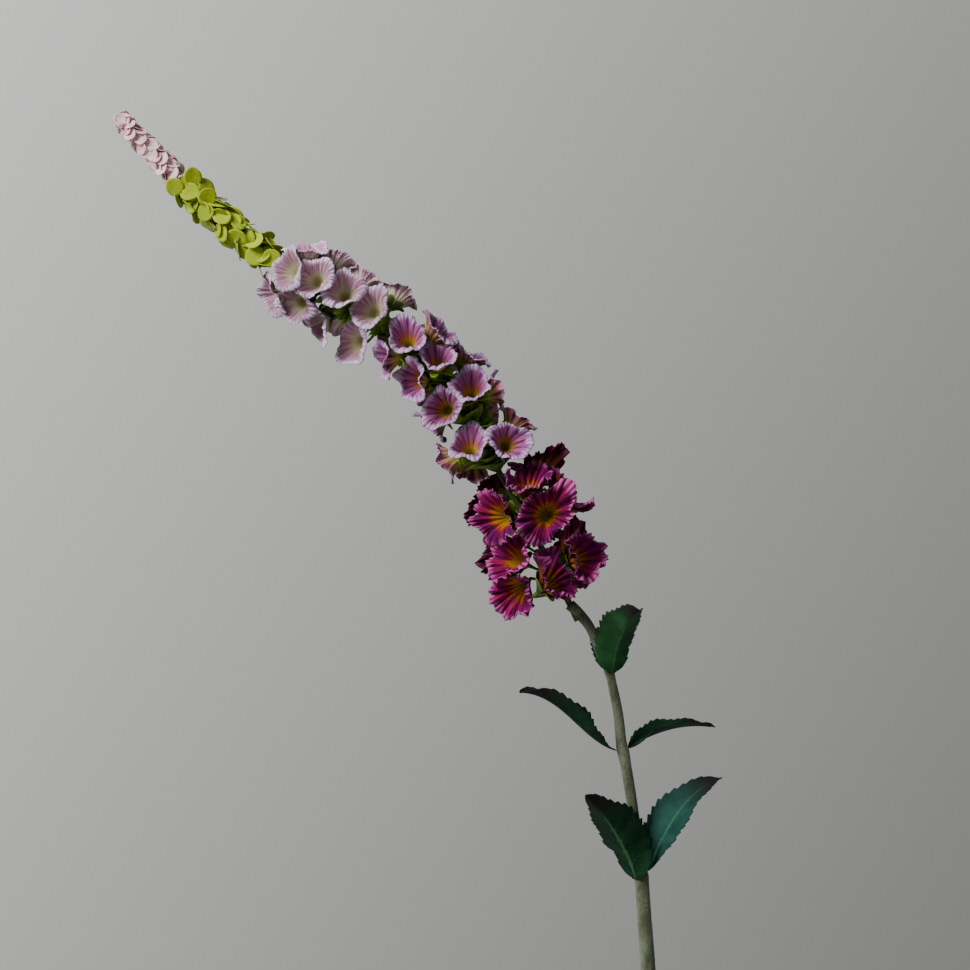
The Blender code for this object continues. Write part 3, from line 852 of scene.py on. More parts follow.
PETALS = {
    Kind.LILAC: PetalFinish(
        "lilac_cloth", deep=(0.36, 0.34, 0.12), throat=(0.60, 0.56, 0.36), blush=(0.52, 0.38, 0.34),
        fold_shade_and_dark_streak=(0.32, 0.13, 0.21), fold_lit_and_pale_streak=(0.57, 0.31, 0.41), violet=(0.48, 0.29, 0.46),
        violet_amount=0.35, crimp_shade=(0.54, 0.37, 0.59), rim=(0.78, 0.62, 0.84),
        back_low=(0.84, 0.78, 0.56), back_high=(0.86, 0.58, 0.64), back_rim=0.7, throat_end=0.36,
        throat_reach=0.22, rim_start=0.81, fineness=4.6, sheen=0.15,
    ),
    Kind.MAUVE: PetalFinish(
        "mauve_cloth", deep=(0.13, 0.11, 0.003), throat=(0.44, 0.29, 0.02), blush=(0.46, 0.14, 0.07),
        fold_shade_and_dark_streak=(0.11, 0.012, 0.07), fold_lit_and_pale_streak=(0.48, 0.14, 0.31), violet=(0.34, 0.10, 0.34),
        violet_amount=0.5, crimp_shade=(0.40, 0.22, 0.46), rim=(0.60, 0.42, 0.68),
        back_low=(0.56, 0.46, 0.07), back_high=(0.56, 0.19, 0.22), back_rim=0.45, throat_end=0.30,
        throat_reach=0.20, rim_start=0.80, fineness=5.0, sheen=0.10,
    ),
    Kind.MAGENTA: PetalFinish(
        "magenta_cloth", deep=(0.22, 0.17, 0.0), throat=(0.46, 0.21, 0.002), blush=(0.36, 0.035, 0.01),
        fold_shade_and_dark_streak=(0.055, 0.0005, 0.022), fold_lit_and_pale_streak=(0.29, 0.0015, 0.085), violet=(0.13, 0.004, 0.13),
        violet_amount=0.7, crimp_shade=(0.16, 0.003, 0.085), rim=(0.52, 0.10, 0.34),
        back_low=(0.34, 0.12, 0.006), back_high=(0.08, 0.001, 0.022), back_rim=0.2, throat_end=0.34,
        throat_reach=0.28, rim_start=0.85, fineness=3.2, sheen=0.02,
    ),
}

GREENS = {
    Kind.LILAC: CalyxFinish(
        "calyx_upper",
        low=(0.035, 0.070, 0.010), high=(0.13, 0.21, 0.025), tip=(0.24, 0.28, 0.06), tip_amount=0.5,
    ),
    Kind.MAUVE: CalyxFinish(
        "calyx_middle",
        low=(0.045, 0.090, 0.008), high=(0.20, 0.34, 0.015), tip=(0.36, 0.30, 0.03), tip_amount=0.5,
    ),
    Kind.MAGENTA: CalyxFinish(
        "calyx_lower",
        low=(0.040, 0.070, 0.010), high=(0.11, 0.17, 0.012), tip=(0.26, 0.15, 0.015), tip_amount=0.6,
    ),
}

BRACT_GREEN = CalyxFinish(
    "bract_plastic",
    low=(0.030, 0.065, 0.008), high=(0.16, 0.28, 0.02), tip=(0.3, 0.3, 0.04), tip_amount=0.3,
)

SLEEVE_GREEN = CalyxFinish(
    "wire_sleeve",
    low=(0.018, 0.026, 0.008), high=(0.080, 0.105, 0.035), tip=(0.14, 0.14, 0.05), tip_amount=0.3,
)

LIME_CLOTH = DiscFinish(
    "lime_cloth", shade=(0.11, 0.14, 0.001), base=(0.30, 0.385, 0.001), pale=(0.46, 0.57, 0.012)
)

PINK_CLOTH = DiscFinish(
    "pink_cloth",
    shade=(1.0, 0.64, 0.68), base=(0.92, 0.54, 0.58), pale=(0.97, 0.71, 0.74), roughness=0.8,
)

LEAF_CLOTHS = {
    "others": LeafFinish(),
    "lower_right": LeafFinish(
        "teal_leaf_cloth",
        blade=(0.008, 0.048, 0.038), young=(0.021, 0.092, 0.072), vein=(0.040, 0.150, 0.090),
    ),
    # Partly a fresher green, partly painted light: a brighter copy of the leaf cloth for a leaf that the
    # key lamp lights poorly.
    "upper_right": LeafFinish(
        "fresh_and_painted_light_leaf_cloth", blade=(0.012, 0.058, 0.017), young=(0.028, 0.125, 0.038)
    ),
}


@dataclass(frozen=True)
class Florets:
    """The cloth trumpets, one for each floret of the frame."""

    cup_rows: int = 10
    lip_rows: int = 5
    columns_each_crimp: int = 5
    thickness: float = 0.3
    lip_easing: float = 0.8
    reach_wave: float = 0.2
    corner_width: float = 0.26
    corner_turn: float = 0.6
    corner_reach: float = 0.7
    fold_wander: float = 0.18
    fold_sharpness: float = 2.5
    fold_growth: float = 1.2
    fold_vary: float = 0.45
    crimp_wander: float = 2.4
    crimp_vary: float = 0.5
    crimped: tuple[float, float] = (0.6, 0.92)
    ragged: tuple[float, float] = (0.86, 1.0)

    def sheet(self, bloom: Bloom, angles: Array, rng: Random) -> tuple[Array, Array]:
        """The middle of the cloth before it is folded.

        Args:
            bloom: the kind of floret.
            angles: where the columns stand.
            rng: turns the lip back further in some places than in others, and pinches its corners.

        Returns:
            Axial and radial places by row and column, and each row's share of the length.
        """
        cup = bloom.cup_line(self.cup_rows)
        leaving = cup[-1] - cup[-2]
        first = math.atan2(leaving[1], leaving[0])
        corner = np.zeros_like(angles)
        for _ in range(bloom.corners):
            apart = (angles - rng.uniform(0, math.tau) + math.pi) % math.tau - math.pi
            pinch = np.exp(-((apart / self.corner_width) ** 2))
            corner = np.maximum(corner, rng.uniform(0.5, 1) * pinch)
        low, high = np.radians(bloom.roll)
        turn = 0.5 + 0.5 * np.clip(waves(angles, (1, 2, 3), rng), -1, 1)
        last = blend(low, high, turn) - self.corner_turn * corner
        eased = np.linspace(0, 1, self.lip_rows + 1)[1:, None] ** self.lip_easing
        heading = first + (last - first) * eased
        reach = 1 + self.reach_wave * waves(angles, (2, 3, 5), rng) + self.corner_reach * corner
        step = bloom.lip * bloom.radius / self.lip_rows * reach
        lip = cup[-1] + np.cumsum(np.stack([np.cos(heading) * step, np.sin(heading) * step], -1), axis=0)
        line = np.concatenate([np.repeat(cup[:, None], len(angles), axis=1), lip])
        pieces = np.linalg.norm(np.diff(line, axis=0), axis=-1).mean(axis=1)
        share = np.concatenate([[0], np.cumsum(pieces)])[:, None]
        return line, share / share[-1]

    def folded(self, bloom: Bloom, angles: Array, rng: Random) -> tuple[Array, ...]:
        """The middle of the cloth with its folds, its crimped lip, broad waves and ragged rim.

        Args:
            bloom: the kind of floret.
            angles: where the columns stand.
            rng: makes it differ from its neighbours.

        Returns:
            Axial and radial places, each row's share of the length, and the folds and crimps of each
            column, which are 1 on a hump and -1 in a hollow, as seen from the mouth.
        """
        line, share = self.sheet(bloom, angles, rng)
        slope = unit(np.gradient(line, axis=0))
        inward = np.stack([slope[..., 1], -slope[..., 0]], -1)
        wander = self.fold_wander * waves(angles, (1, 2, 3), rng)
        fold = 1 - 2 * np.abs(np.cos((bloom.folds * (angles + wander)) / 2)) ** self.fold_sharpness
        wander = self.crimp_wander * waves(angles, (2, 3, 5, 7), rng)
        crimp = 1 - 2 * np.abs(np.cos((bloom.crimps * angles + wander) / 2)) ** 2
        fold_vary = 1 + self.fold_vary * waves(angles, (2, 3, 5), rng)
        fold_lift = share**self.fold_growth * bloom.fold * fold * fold_vary
        crimp_vary = 1 + self.crimp_vary * waves(angles, (4, 7, 9, 13), rng)
        crimp_lift = rise(share, *self.crimped) * bloom.crimp * crimp * crimp_vary
        line = line + inward * (fold_lift + crimp_lift)[..., None]
        ragged = bloom.jag * (0.4 * fold + 0.6 * rng.uniform(-1, 1, len(angles)))
        line = line + slope * (rise(share, *self.ragged) * ragged)[..., None]
        axial = line[..., 0] + share**2.2 * bloom.lobe * waves(angles, (1, 2, 3, 4, 6), rng)
        oval = bloom.squeeze * np.sin(2 * angles + rng.uniform(0, math.tau))
        uneven = 0.6 * bloom.lobe / bloom.radius * waves(angles, (3, 4, 5), rng)
        spread = 1 - bloom.vary * rng.uniform()
        radial = line[..., 1] * spread * (1 + share**1.5 * oval + share**2 * uneven)
        return np.stack([axial, radial], -1), share, fold, crimp

    def skin(self, bloom: Bloom, place: Place, rng: Random) -> Skin:
        """One trumpet.

        Args:
            bloom: its kind.
            place: where it sits.
            rng: makes it differ from its neighbours.
        """
        columns = bloom.crimps * self.columns_each_crimp
        angles = ring(columns)
        line, share, fold, crimp = self.folded(bloom, angles, rng)
        sheet = turned(line, place.base, place.facing, columns)
        outer, inner = shelled(sheet, self.thickness)
        rings = np.concatenate([outer[1:], inner[:0:-1]])
        shares = np.concatenate([share[1:], share[:0:-1]])
        wide = np.ones((len(rings), columns))
        half = len(rings) // 2
        side = np.repeat([-1.0, 1.0], half)[:, None]
        values = {
            "petal": spun(angles, wide * shares),
            "folds": np.stack([side * fold, side * crimp, wide * side], -1),
            "own": wide * rng.uniform(),
        }
        wall = place.facing * self.thickness
        return Skin(rings, values, place.base - wall, place.base + wall)

    def build(self, kind: Kind, spike: Route, material: Material) -> list[Place]:
        """Makes every floret of a kind, and gives their places."""
        bloom = BLOOMS[kind]
        places = []
        for number, row in enumerate(bloom.places, 1):
            place = bloom.place(spike, row)
            places.append(place)
            rng = np.random.default_rng((SEED, len(kind.value), number))
            node = f"floret_{kind.value}_{number:02}"
            skin = self.skin(bloom, place, rng)
            dress(f"cloth_{kind.value}_{number:02}", [skin], material, node)
        return places


@dataclass(frozen=True)
class Calyces:
    """The green stalks and lobed cups that hold the florets."""

    lobes: int = 5
    columns: int = 60
    cup_rows: int = 10
    stalk_radius: float = 0.95
    stalk_sides: int = 10
    thickness: float = 0.4
    cup_share: float = 0.2
    clearance: float = 0.3
    sunk: float = 1.3
    root_radius: float = 0.8
    leaving: float = 80.0
    turning: float = 56.0
    bowl: float = 3.2
    length_vary: tuple[float, float] = (0.75, 1.2)
    cuts: int = 4
    cut: float = 0.72

    def stalk(self, bloom: Bloom, place: Place) -> Skin:
        """The bent stalk from the wire to the cup."""
        foot = place.base - place.facing * bloom.neck
        line = Route([place.root, place.bend, foot, place.base - place.facing * 0.5], 10).spread(16)
        share = np.linspace(0, 1, len(line))
        radii = self.stalk_radius * (1 - 0.15 * np.sin(share * math.pi)) + 0.6 * rise(share, 0.75, 1)
        angles = ring(self.stalk_sides)
        grooves = 1 + 0.08 * np.cos(5 * angles)
        rings = sweep(line, radii[:, None] * grooves, self.stalk_sides)
        shape = rings.shape[:2]
        return Skin(rings, {"lobe": spun(angles, np.full(shape, 0.7)), "own": np.full(shape, 0.8)})

    def lobe_of_column(self) -> Array:
        """The lobe that each column belongs to."""
        return np.round(ring(self.columns) * self.lobes / math.tau).astype(int) % self.lobes

    def sheet(self, bloom: Bloom, place: Place, lengths: Array, flares: Array) -> tuple[Array, Array]:
        """The middle of the cup's wall.

        Args:
            bloom: the kind of floret in it.
            place: where that sits.
            lengths: of the lobes, beyond the cup.
            flares: how far each lobe turns outward.

        Returns:
            The sheet by row, column and axis, and how far out each point is.
        """
        which = self.lobe_of_column()
        each = np.abs(np.cos(self.lobes * ring(self.columns) / 2)) ** 0.6
        base = bloom.depth * self.cup_share
        length = base + lengths[which] * each
        flare = flares[which] * each
        run = np.linspace(0, 1, self.cup_rows)[:, None] * length
        heading = math.radians(self.leaving) - math.radians(self.turning) * rise(run, 0, self.bowl)
        heading = heading + flare * rise(run, base * 0.6, base + 6)
        step = np.diff(run, axis=0, prepend=0)
        axial = -self.sunk + np.cumsum(np.cos(heading) * step, axis=0)
        radial = self.root_radius + np.cumsum(np.sin(heading) * step, axis=0)
        cloth = bloom.cup_line(16)
        room = self.clearance + self.thickness + bloom.slack() * rise(axial, 1, 0.7 * bloom.depth)
        least = np.interp(axial, cloth[:, 0], cloth[:, 1]) + room
        radial = np.maximum(radial, least * rise(axial, -self.sunk, 0.4))
        sheet = turned(np.stack([axial, radial], -1), place.base, place.facing, self.columns)
        return sheet, run / length.max()

    def cup(self, bloom: Bloom, place: Place, others: Sequence[Seat], rng: Random) -> Skin:
        """The cup, whose lobes spread away from the cloth.

        Args:
            bloom: the kind of floret in it.
            place: where that sits.
            others: the other florets. A lobe is cut short where it would enter one.
            rng: makes it differ from its neighbours.
        """
        which = self.lobe_of_column()
        lengths = bloom.calyx_lobe * rng.uniform(*self.length_vary, self.lobes)
        flares = np.radians(rng.uniform(*bloom.calyx_flare, self.lobes))
        for _ in range(self.cuts):
            sheet, tone = self.sheet(bloom, place, lengths, flares)
            for lobe in range(self.lobes):
                points = sheet[:, which == lobe].reshape(-1, 3)
                if any(other.holds(seat, points) for other, seat in others):
                    lengths[lobe] *= self.cut
        sheet, tone = self.sheet(bloom, place, lengths, flares)
        outer, inner = shelled(sheet, self.thickness)
        rings = np.concatenate([outer, inner[::-1]])
        side = spun(ring(self.columns), tone)
        own = np.full(rings.shape[:2], rng.uniform())
        return Skin(rings, {"lobe": np.concatenate([side, side[::-1]]), "own": own})

    def build(
        self, kind: Kind, places: Sequence[Place], seats: Sequence[Seat], material: Material
    ) -> None:
        """Makes the stalks and cups of one kind of floret.

        Args:
            kind: the kind.
            places: its florets.
            seats: every floret, whose cup the lobes of the others keep out of.
            material: their finish.
        """
        rng = np.random.default_rng((SEED, 7, len(kind.value)))
        skins = []
        for place in places:
            others = [seat for seat in seats if seat[1] is not place]
            skins.append(self.stalk(BLOOMS[kind], place))
            skins.append(self.cup(BLOOMS[kind], place, others, rng))
        dress(f"calyces_{kind.value}", skins, material, "spike")


@dataclass(frozen=True)
class Bracts:
    """Small cupped leaves that crowd the wire between the florets, wherever no cup is in the way."""

    count: int = 300
    tries: int = 4200
    span: tuple[float, float] = (97.0, 286.0)
    length: tuple[float, float] = (10.0, 19.0)
    width: tuple[float, float] = (7.5, 11.5)
    lean: tuple[float, float] = (35.0, 75.0)
    bow: tuple[float, float] = (-20.0, 35.0)
    hollow: float = 0.45
    root: float = 1.4
    rows: int = 10
    columns: int = 7
    thickness: float = 0.35

    def bract(self, spike: Route, rng: Random) -> Skin:
        """One bract, at a random place on the wire."""
        station = rng.uniform(*self.span)
        along, arm = spike.along(station), spike.outward(station, rng.uniform(0, math.tau))
        length, width = rng.uniform(*self.length), rng.uniform(*self.width)
        share = np.linspace(0, 1, self.rows)
        lean = np.radians(rng.uniform(*self.lean) + rng.uniform(*self.bow) * share)[:, None]
        ahead = np.cos(lean) * along + np.sin(lean) * arm
        up = np.cos(lean) * arm - np.sin(lean) * along
        spine = spike.at(station) + arm * self.root + np.cumsum(ahead, axis=0) * length / self.rows
        half = (width / 2 * np.maximum(0.14, np.sin(math.pi * share**0.8) ** 0.8))[:, None]
        across = np.linspace(-1, 1, self.columns)
        trough = -self.hollow * across**2 * half
        sideways = np.cross(along, arm)
        sheet = spine[:, None] + (across * half)[..., None] * sideways + trough[..., None] * up[:, None]
        rings = sided(sheet, self.thickness)
        wide = np.ones(rings.shape[:2])
        over = np.concatenate([across, across[::-1]])
        lobe = np.stack([wide * over, wide * 0.3, wide * (0.15 + 0.7 * share[:, None])], -1)
        return Skin(rings, {"lobe": lobe, "own": wide * rng.uniform()})

    def build(self, spike: Route, seats: Sequence[Seat], material: Material) -> None:
        """Keeps trying places until there are enough bracts.

        Args:
            spike: the wire that they grow on.
            seats: every floret, whose cup stays clear.
            material: their finish.
        """
        rng = np.random.default_rng((SEED, 19))
        skins = []
        for _ in range(self.tries):
            skin = self.bract(spike, rng)
            points = skin.rings.reshape(-1, 3)
            if not any(bloom.holds(place, points) for bloom, place in seats):
                skins.append(skin)
            if len(skins) == self.count:
                break
        log.info("%d bracts found room", len(skins))
        dress("spike_bracts", skins, material, "spike")


@dataclass(frozen=True)
class Wire:
    """The wire under its bundle of stalks, from the stem's socket to the lime discs."""

    strands: int = 5
    sides: int = 10
    rows: int = 130
    twist: float = 0.022
    socket: float = 11.7
    socket_rows: int = 5
    pin: float = 7.0
    winding: float = 0.56
    strand_share: float = 0.42
    middle_share: float = 0.55

    def build(self, spike: Route, material: Material) -> None:
        """Strands that wind slowly round the wire, which thins to the pin."""
        stations = np.linspace(0, BELLS_START + self.pin, self.rows)
        sunk = np.linspace(self.socket, 1, self.socket_rows)
        line = np.vstack([spike.at(0) - spike.along(1) * sunk[:, None], spike.at(stations)])
        run = np.concatenate([-sunk, stations])
        girth = WIRE_RADIUS + (WIRE_TOP_RADIUS - WIRE_RADIUS) * np.clip(run / BELLS_START, 0, 1)
        frames = sweep(line, np.ones(len(line)), 4) - line[:, None]
        skins = []
        for strand in range(self.strands + 1):
            centre = strand == self.strands
            turn = math.tau * strand / self.strands + self.twist * run
            away = girth * (0.0 if centre else self.winding)
            arm = np.cos(turn)[:, None] * frames[:, 0] + np.sin(turn)[:, None] * frames[:, 1]
            uneven = 1 + 0.06 * np.sin(run * 0.31 + strand * 2.1)
            thick = girth * (self.middle_share if centre else self.strand_share) * uneven
            if not centre:
                thick = thick * rise(run, BELLS_START + 1, BELLS_START - 4) + 0.02
            rings = sweep(line + arm * away[:, None], thick, self.sides)
            shape = rings.shape[:2]
            lobe = spun(ring(self.sides), np.full(shape, 0.6))
            skins.append(Skin(rings, {"lobe": lobe, "own": np.full(shape, strand / self.strands)}))
        dress("spike_wire", skins, material, "spike")


@dataclass(frozen=True)
class Discs:
    """Round cloth discs on short stalks, wound round a core."""

    name: str
    slot: str
    node: str
    span: tuple[float, float]
    count: int
    reach: tuple[float, float]
    radius: tuple[float, float]
    tilts: tuple[float, ...]
    cupping: float
    wave: float
    sway: float
    extra: int
    extra_reach: float
    core: float
    core_end: float
    columns: int = 24
    rings: int = 5
    core_rows: int = 24
    core_ends: tuple[float, float] = (2.2, 1.5)
    stalk_radius: float = 0.6
    thickness: float = 0.35

    def disc(
        self, root: Array, arm: Array, facing: Array, reach: float, radius: float, rng: Random
    ) -> Skin:
        """One cupped disc with its stalk.

        Args:
            root: the point on the axis that its stalk starts from.
            arm: the stalk's direction.
            facing: the disc's direction.
            reach: of the disc's centre from the axis.
            radius: of the disc.
            rng: makes it differ from its neighbours.
        """
        angles = ring(self.columns)
        spread = np.linspace(0.15, 1, self.rings)[:, None]
        uneven = 1 + 0.6 * np.sin(2 * angles + rng.uniform(0, math.tau))
        lift = spread**2 * self.cupping * uneven + spread**3 * self.wave * waves(angles, (2, 3, 5), rng)
        size = spread * radius * (1 + 0.05 * waves(angles, (2, 3, 4), rng) * spread)
        centre = root + arm * reach
        sheet = turned(np.stack([lift, size], -1), centre, facing, self.columns)
        outer, inner = shelled(sheet, self.thickness)
        stalk = []
        for share in (0.0, 0.5, 1.0):
            point = root + arm * blend(0.3, 1, share) * (reach - 0.5)
            heading = unit(arm * (2 - share) + facing * share)
            stalk.append(turned(np.array([[0, self.stalk_radius]]), point, heading, self.columns)[0])
        rings = np.concatenate([np.array(stalk), outer, inner[::-1]])
        wide = np.ones((len(rings), self.columns))
        radial = np.concatenate([np.full((len(stalk), 1), -0.5), spread, spread[::-1]])
        disc = spun(angles, wide) * radial[..., None]
        return Skin(rings, {"disc": disc, "own": wide * rng.uniform()}, end=centre)

    def core_skin(self, spike: Route) -> Skin:
        """The core that the stalks grow from."""
        start, end = self.span
        below, above = self.core_ends
        stations = np.linspace(start - below, end + above, self.core_rows)
        share = np.linspace(0, 1, self.core_rows)
        radii = self.core + (self.core_end - self.core) * share**2
        radii = radii * rise(share, -0.1, 0.06) * rise(share, 1.06, 0.94)
        rings = sweep(spike.at(stations), radii, self.columns)
        wide = np.full(rings.shape[:2], -0.5)
        return Skin(rings, {"disc": np.stack([wide, wide, wide], -1), "own": wide + 1})

    def build(self, spike: Route, material: Material) -> None:
        """Winds the discs, then fills in between them with some that stand nearer to the core."""
        rng = np.random.default_rng((SEED, self.count))
        skins = [self.core_skin(spike)]
        start, end = self.span
        for k in range(self.count + self.extra):
            added = k >= self.count
            share = (k - self.count + 0.2) / self.extra if added else (k + 0.5) / self.count
            turn = (k * GOLDEN_ANGLE + 1.1) if added else k * GOLDEN_ANGLE
            station = start + share * (end - start)
            arm = spike.outward(station, turn)
            tilt = self.tilts[k % len(self.tilts)] + rng.uniform(-1, 1) * self.sway * 0.7
            across = np.cross(spike.along(station), arm)
            facing = unit(arm + spike.along(station) * tilt + across * rng.uniform(-1, 1) * self.sway)
            reach = blend(*self.reach, share) * (self.extra_reach if added else rng.uniform(0.85, 1.0))
            radius = blend(*self.radius, share) * rng.uniform(0.92, 1.05)
            skins.append(self.disc(spike.at(station), arm, facing, reach, radius, rng))
        dress(self.name, skins, material, self.node)


LIME_DISCS = Discs(
    name="lime_discs", slot="bell_lime", node="bells_lime", span=(303.0, 382.0), count=40,
    reach=(9.8, 9.4), radius=(6.4, 6.2), tilts=(0.4, 0.0, 0.8, 0.2), cupping=0.25, wave=0.25, sway=0.9,
    extra=44, extra_reach=0.70, core=4.2, core_end=3.4,
)

PINK_PETALS = Discs(
    name="pink_petals", slot="bud_pink", node="buds_pink", span=(387.3, 438.5), count=36,
    reach=(6.2, 4.6), radius=(5.0, 4.0), tilts=(0.5, 0.1, 0.9), cupping=0.35, wave=0.3, sway=0.5,
    extra=26, extra_reach=0.80, core=4.1, core_end=2.4,
)


@dataclass(frozen=True)
class Leaf:
    """One folded, arching blade.

    The values are the height of its joint on the stem, its bearing, its slopes at the root, middle and
    tip, the fold at its midrib, its roll round the midrib, its length and its width.
    """

    name: str
    height: float
    bearing: float
    slopes: tuple[float, float, float]
    fold: float
    roll: float
    length: float
    width: float
    widest: float = 0.72
    teeth: int = 15
    rows_each_tooth: int = 7
    columns: int = 17
    thickness: float = 0.5
    gap: float = 0.1
    overlap: float = 0.6
    tooth_depth: float = 0.15
    edge_wave: float = 0.9
    veins: int = 8
    vein_depth: float = 0.30

    def half_width(self, share: Array) -> Array:
        """Half width of the blade at a share of its length, as a share of its widest."""
        least = np.where(share < 0.5, 0.16, 0.015)
        return np.maximum(least, np.sin(math.pi * np.clip(share, 1e-6, 1) ** self.widest) ** 0.85)

    def relief(self, across: Array, share: Array) -> Array:
        """Height of the veins: 1 on the midrib, less on the side veins and 0 between them."""
        midrib = np.exp(-((across / 0.05) ** 2))
        phase = share * self.veins - np.abs(across) * 1.5
        side = (0.5 + 0.5 * np.cos(math.tau * phase)) ** 10
        return np.maximum(midrib, 0.55 * side * rise(np.abs(across), 1.0, 0.6))

    def midrib(self, stem: "Stem", share: Array) -> tuple[Array, Array, Array]:
        """The arching midrib.

        Args:
            stem: what the leaf grows on.
            share: each row's share of the length.

        Returns:
            By row: its points, the way across the blade, and the way out of the blade's face.
        """
        centre, stem_radius = stem.at(self.height)
        bearing = math.radians(self.bearing)
        outward = np.array((math.cos(bearing), math.sin(bearing), 0))
        sideways = np.cross(UP, outward)
        first, middle, last = self.slopes
        early, late = 1 - share, 2 * share - 1
        slope = first * early * (1 - 2 * share) + middle * 4 * share * early + last * share * late
        slope = np.radians(slope)[:, None]
        ahead = np.cos(slope) * outward + np.sin(slope) * UP
        lifted = np.cos(slope) * UP - np.sin(slope) * outward
        start = centre + outward * (stem_radius + self.gap)
        spine = start + np.cumsum(ahead, axis=0) * (self.length + self.overlap) / len(share)
        rolled = np.radians(self.roll) * np.minimum(1, share / 0.3)[:, None]
        side = np.cos(rolled) * sideways + np.sin(rolled) * lifted
        face = np.cos(rolled) * lifted - np.sin(rolled) * sideways
        return spine, side, face

    def skin(self, stem: "Stem") -> Skin:
        """The blade with teeth, veins and a waved edge."""
        rng = np.random.default_rng((SEED, int(self.height), int(self.bearing)))
        share = np.linspace(0, 1, self.teeth * self.rows_each_tooth)
        spine, side, face = self.midrib(stem, share)
        along, across = share[:, None], np.linspace(-1, 1, self.columns)[None, :]
        folded = np.radians(self.fold) * np.minimum(1, along / 0.2)
        saw = along * self.teeth % 1
        tooth = (self.tooth_depth * saw - 0.08) * rise(along, 0.03, 0.12)
        half = self.width / 2 * self.half_width(along) * (1 + np.abs(across) ** 6 * tooth)
        curl = np.sin(folded) * np.sqrt(across**2 + 0.01) * half
        phase = along * 19 + rng.uniform(0, 6) + across * 1.5
        wavy = self.edge_wave * np.abs(across) ** 2.5 * np.sin(phase)
        wavy = wavy * rise(along, 0.05, 0.3) * self.width / 30
        veins = self.relief(across, along)
        lift = curl + wavy - self.vein_depth * veins * (half > 2)
        flat = spine[:, None] + side[:, None] * (np.cos(folded) * across * half)[..., None]
        sheet = flat + face[:, None] * lift[..., None]
        ones = np.ones_like(veins)
        blade = np.stack([across * ones, along * ones, veins], -1)
        blade = np.concatenate([blade, blade[:, ::-1]], axis=1)
        return Skin(sided(sheet, self.thickness), {"blade": blade})


LEAVES = (
    Leaf("lower_left", 344, 226, (62, 50, 38), 38, 26, 78, 41),
    Leaf("lower_right", 349, 14, (62, 54, 16), 24, 32, 80, 33),
    Leaf("middle_left", 428, 200, (16, 41, 4), 30, 0, 79, 34, 1.25),
    Leaf("middle_right", 429, 25, (26, 10, -10), 28, 0, 67, 26),
    Leaf("upper_left", 479, 88, (34, 24, 2), 26, 0, 64, 26),
    Leaf("upper_right", 478, 290, (62, 46, 10), 42, -8, 66, 35),
)


@dataclass(frozen=True)
class Stem:
    """The flocked stem, swollen at each pair of leaves."""

    route: tuple[tuple[float, float, float], ...] = (
        (13.2, 9.65, 5.2), (4.5, 147, 5.2), (-4.2, 285, 5.1), (-6.8, 321.6, 4.8), (-8.0, 340, 4.7),
        (-8.5, 346, 5.0), (-9.1, 351, 3.7), (-14.0, 389.3, 3.6), (-19.0, 420, 3.8), (-20.6, 428, 4.2),
        (-21.7, 433, 3.7), (-23.8, 452.4, 3.4), (-28.2, 474, 3.1), (-29.4, 478.5, 3.5), (-31.2, 483, 3.0),
        (-35.6, 492.2, 3.1), (-41.7, 507.1, 3.3), (-48.6, 516.2, 3.6), (-55.2, 522.6, 3.8),
    )
    sides: int = 40
    rows: int = 330
    flock: float = 0.1
    inset: float = 0.15
    socket: float = 2.5
    socket_depth: float = 6.0

    def at(self, height: float) -> tuple[Array, float]:
        """The stem's centre and radius at a height."""
        xs, heights, radii = np.array(self.route).T
        x = float(np.interp(height, heights, xs))
        return np.array((x, 0, height)), float(np.interp(height, heights, radii))

    def build(self, material: Material) -> None:
        """A tube roughened by its flock, with the socket in its blunt top."""
        rng = np.random.default_rng((SEED, 3))
        xs, heights, radii = np.array(self.route).T
        points = Route(np.stack([xs, np.zeros(len(xs)), heights], -1), 12).spread(self.rows)
        reach = np.interp(points[:, 2], heights, radii)
        rough = self.flock * rng.uniform(-1, 1, (self.rows, self.sides))
        rings = sweep(points, reach[:, None] - self.inset + rough, self.sides)
        top, into = points[-1], unit(points[-2] - points[-1])
        socket = np.array([top, top + into * self.socket_depth])
        mouth = sweep(socket, np.full(2, self.socket), self.sides)
        rings = np.concatenate([rings, mouth])
        dress("flocked_stem", [Skin(rings)], material, "stem")


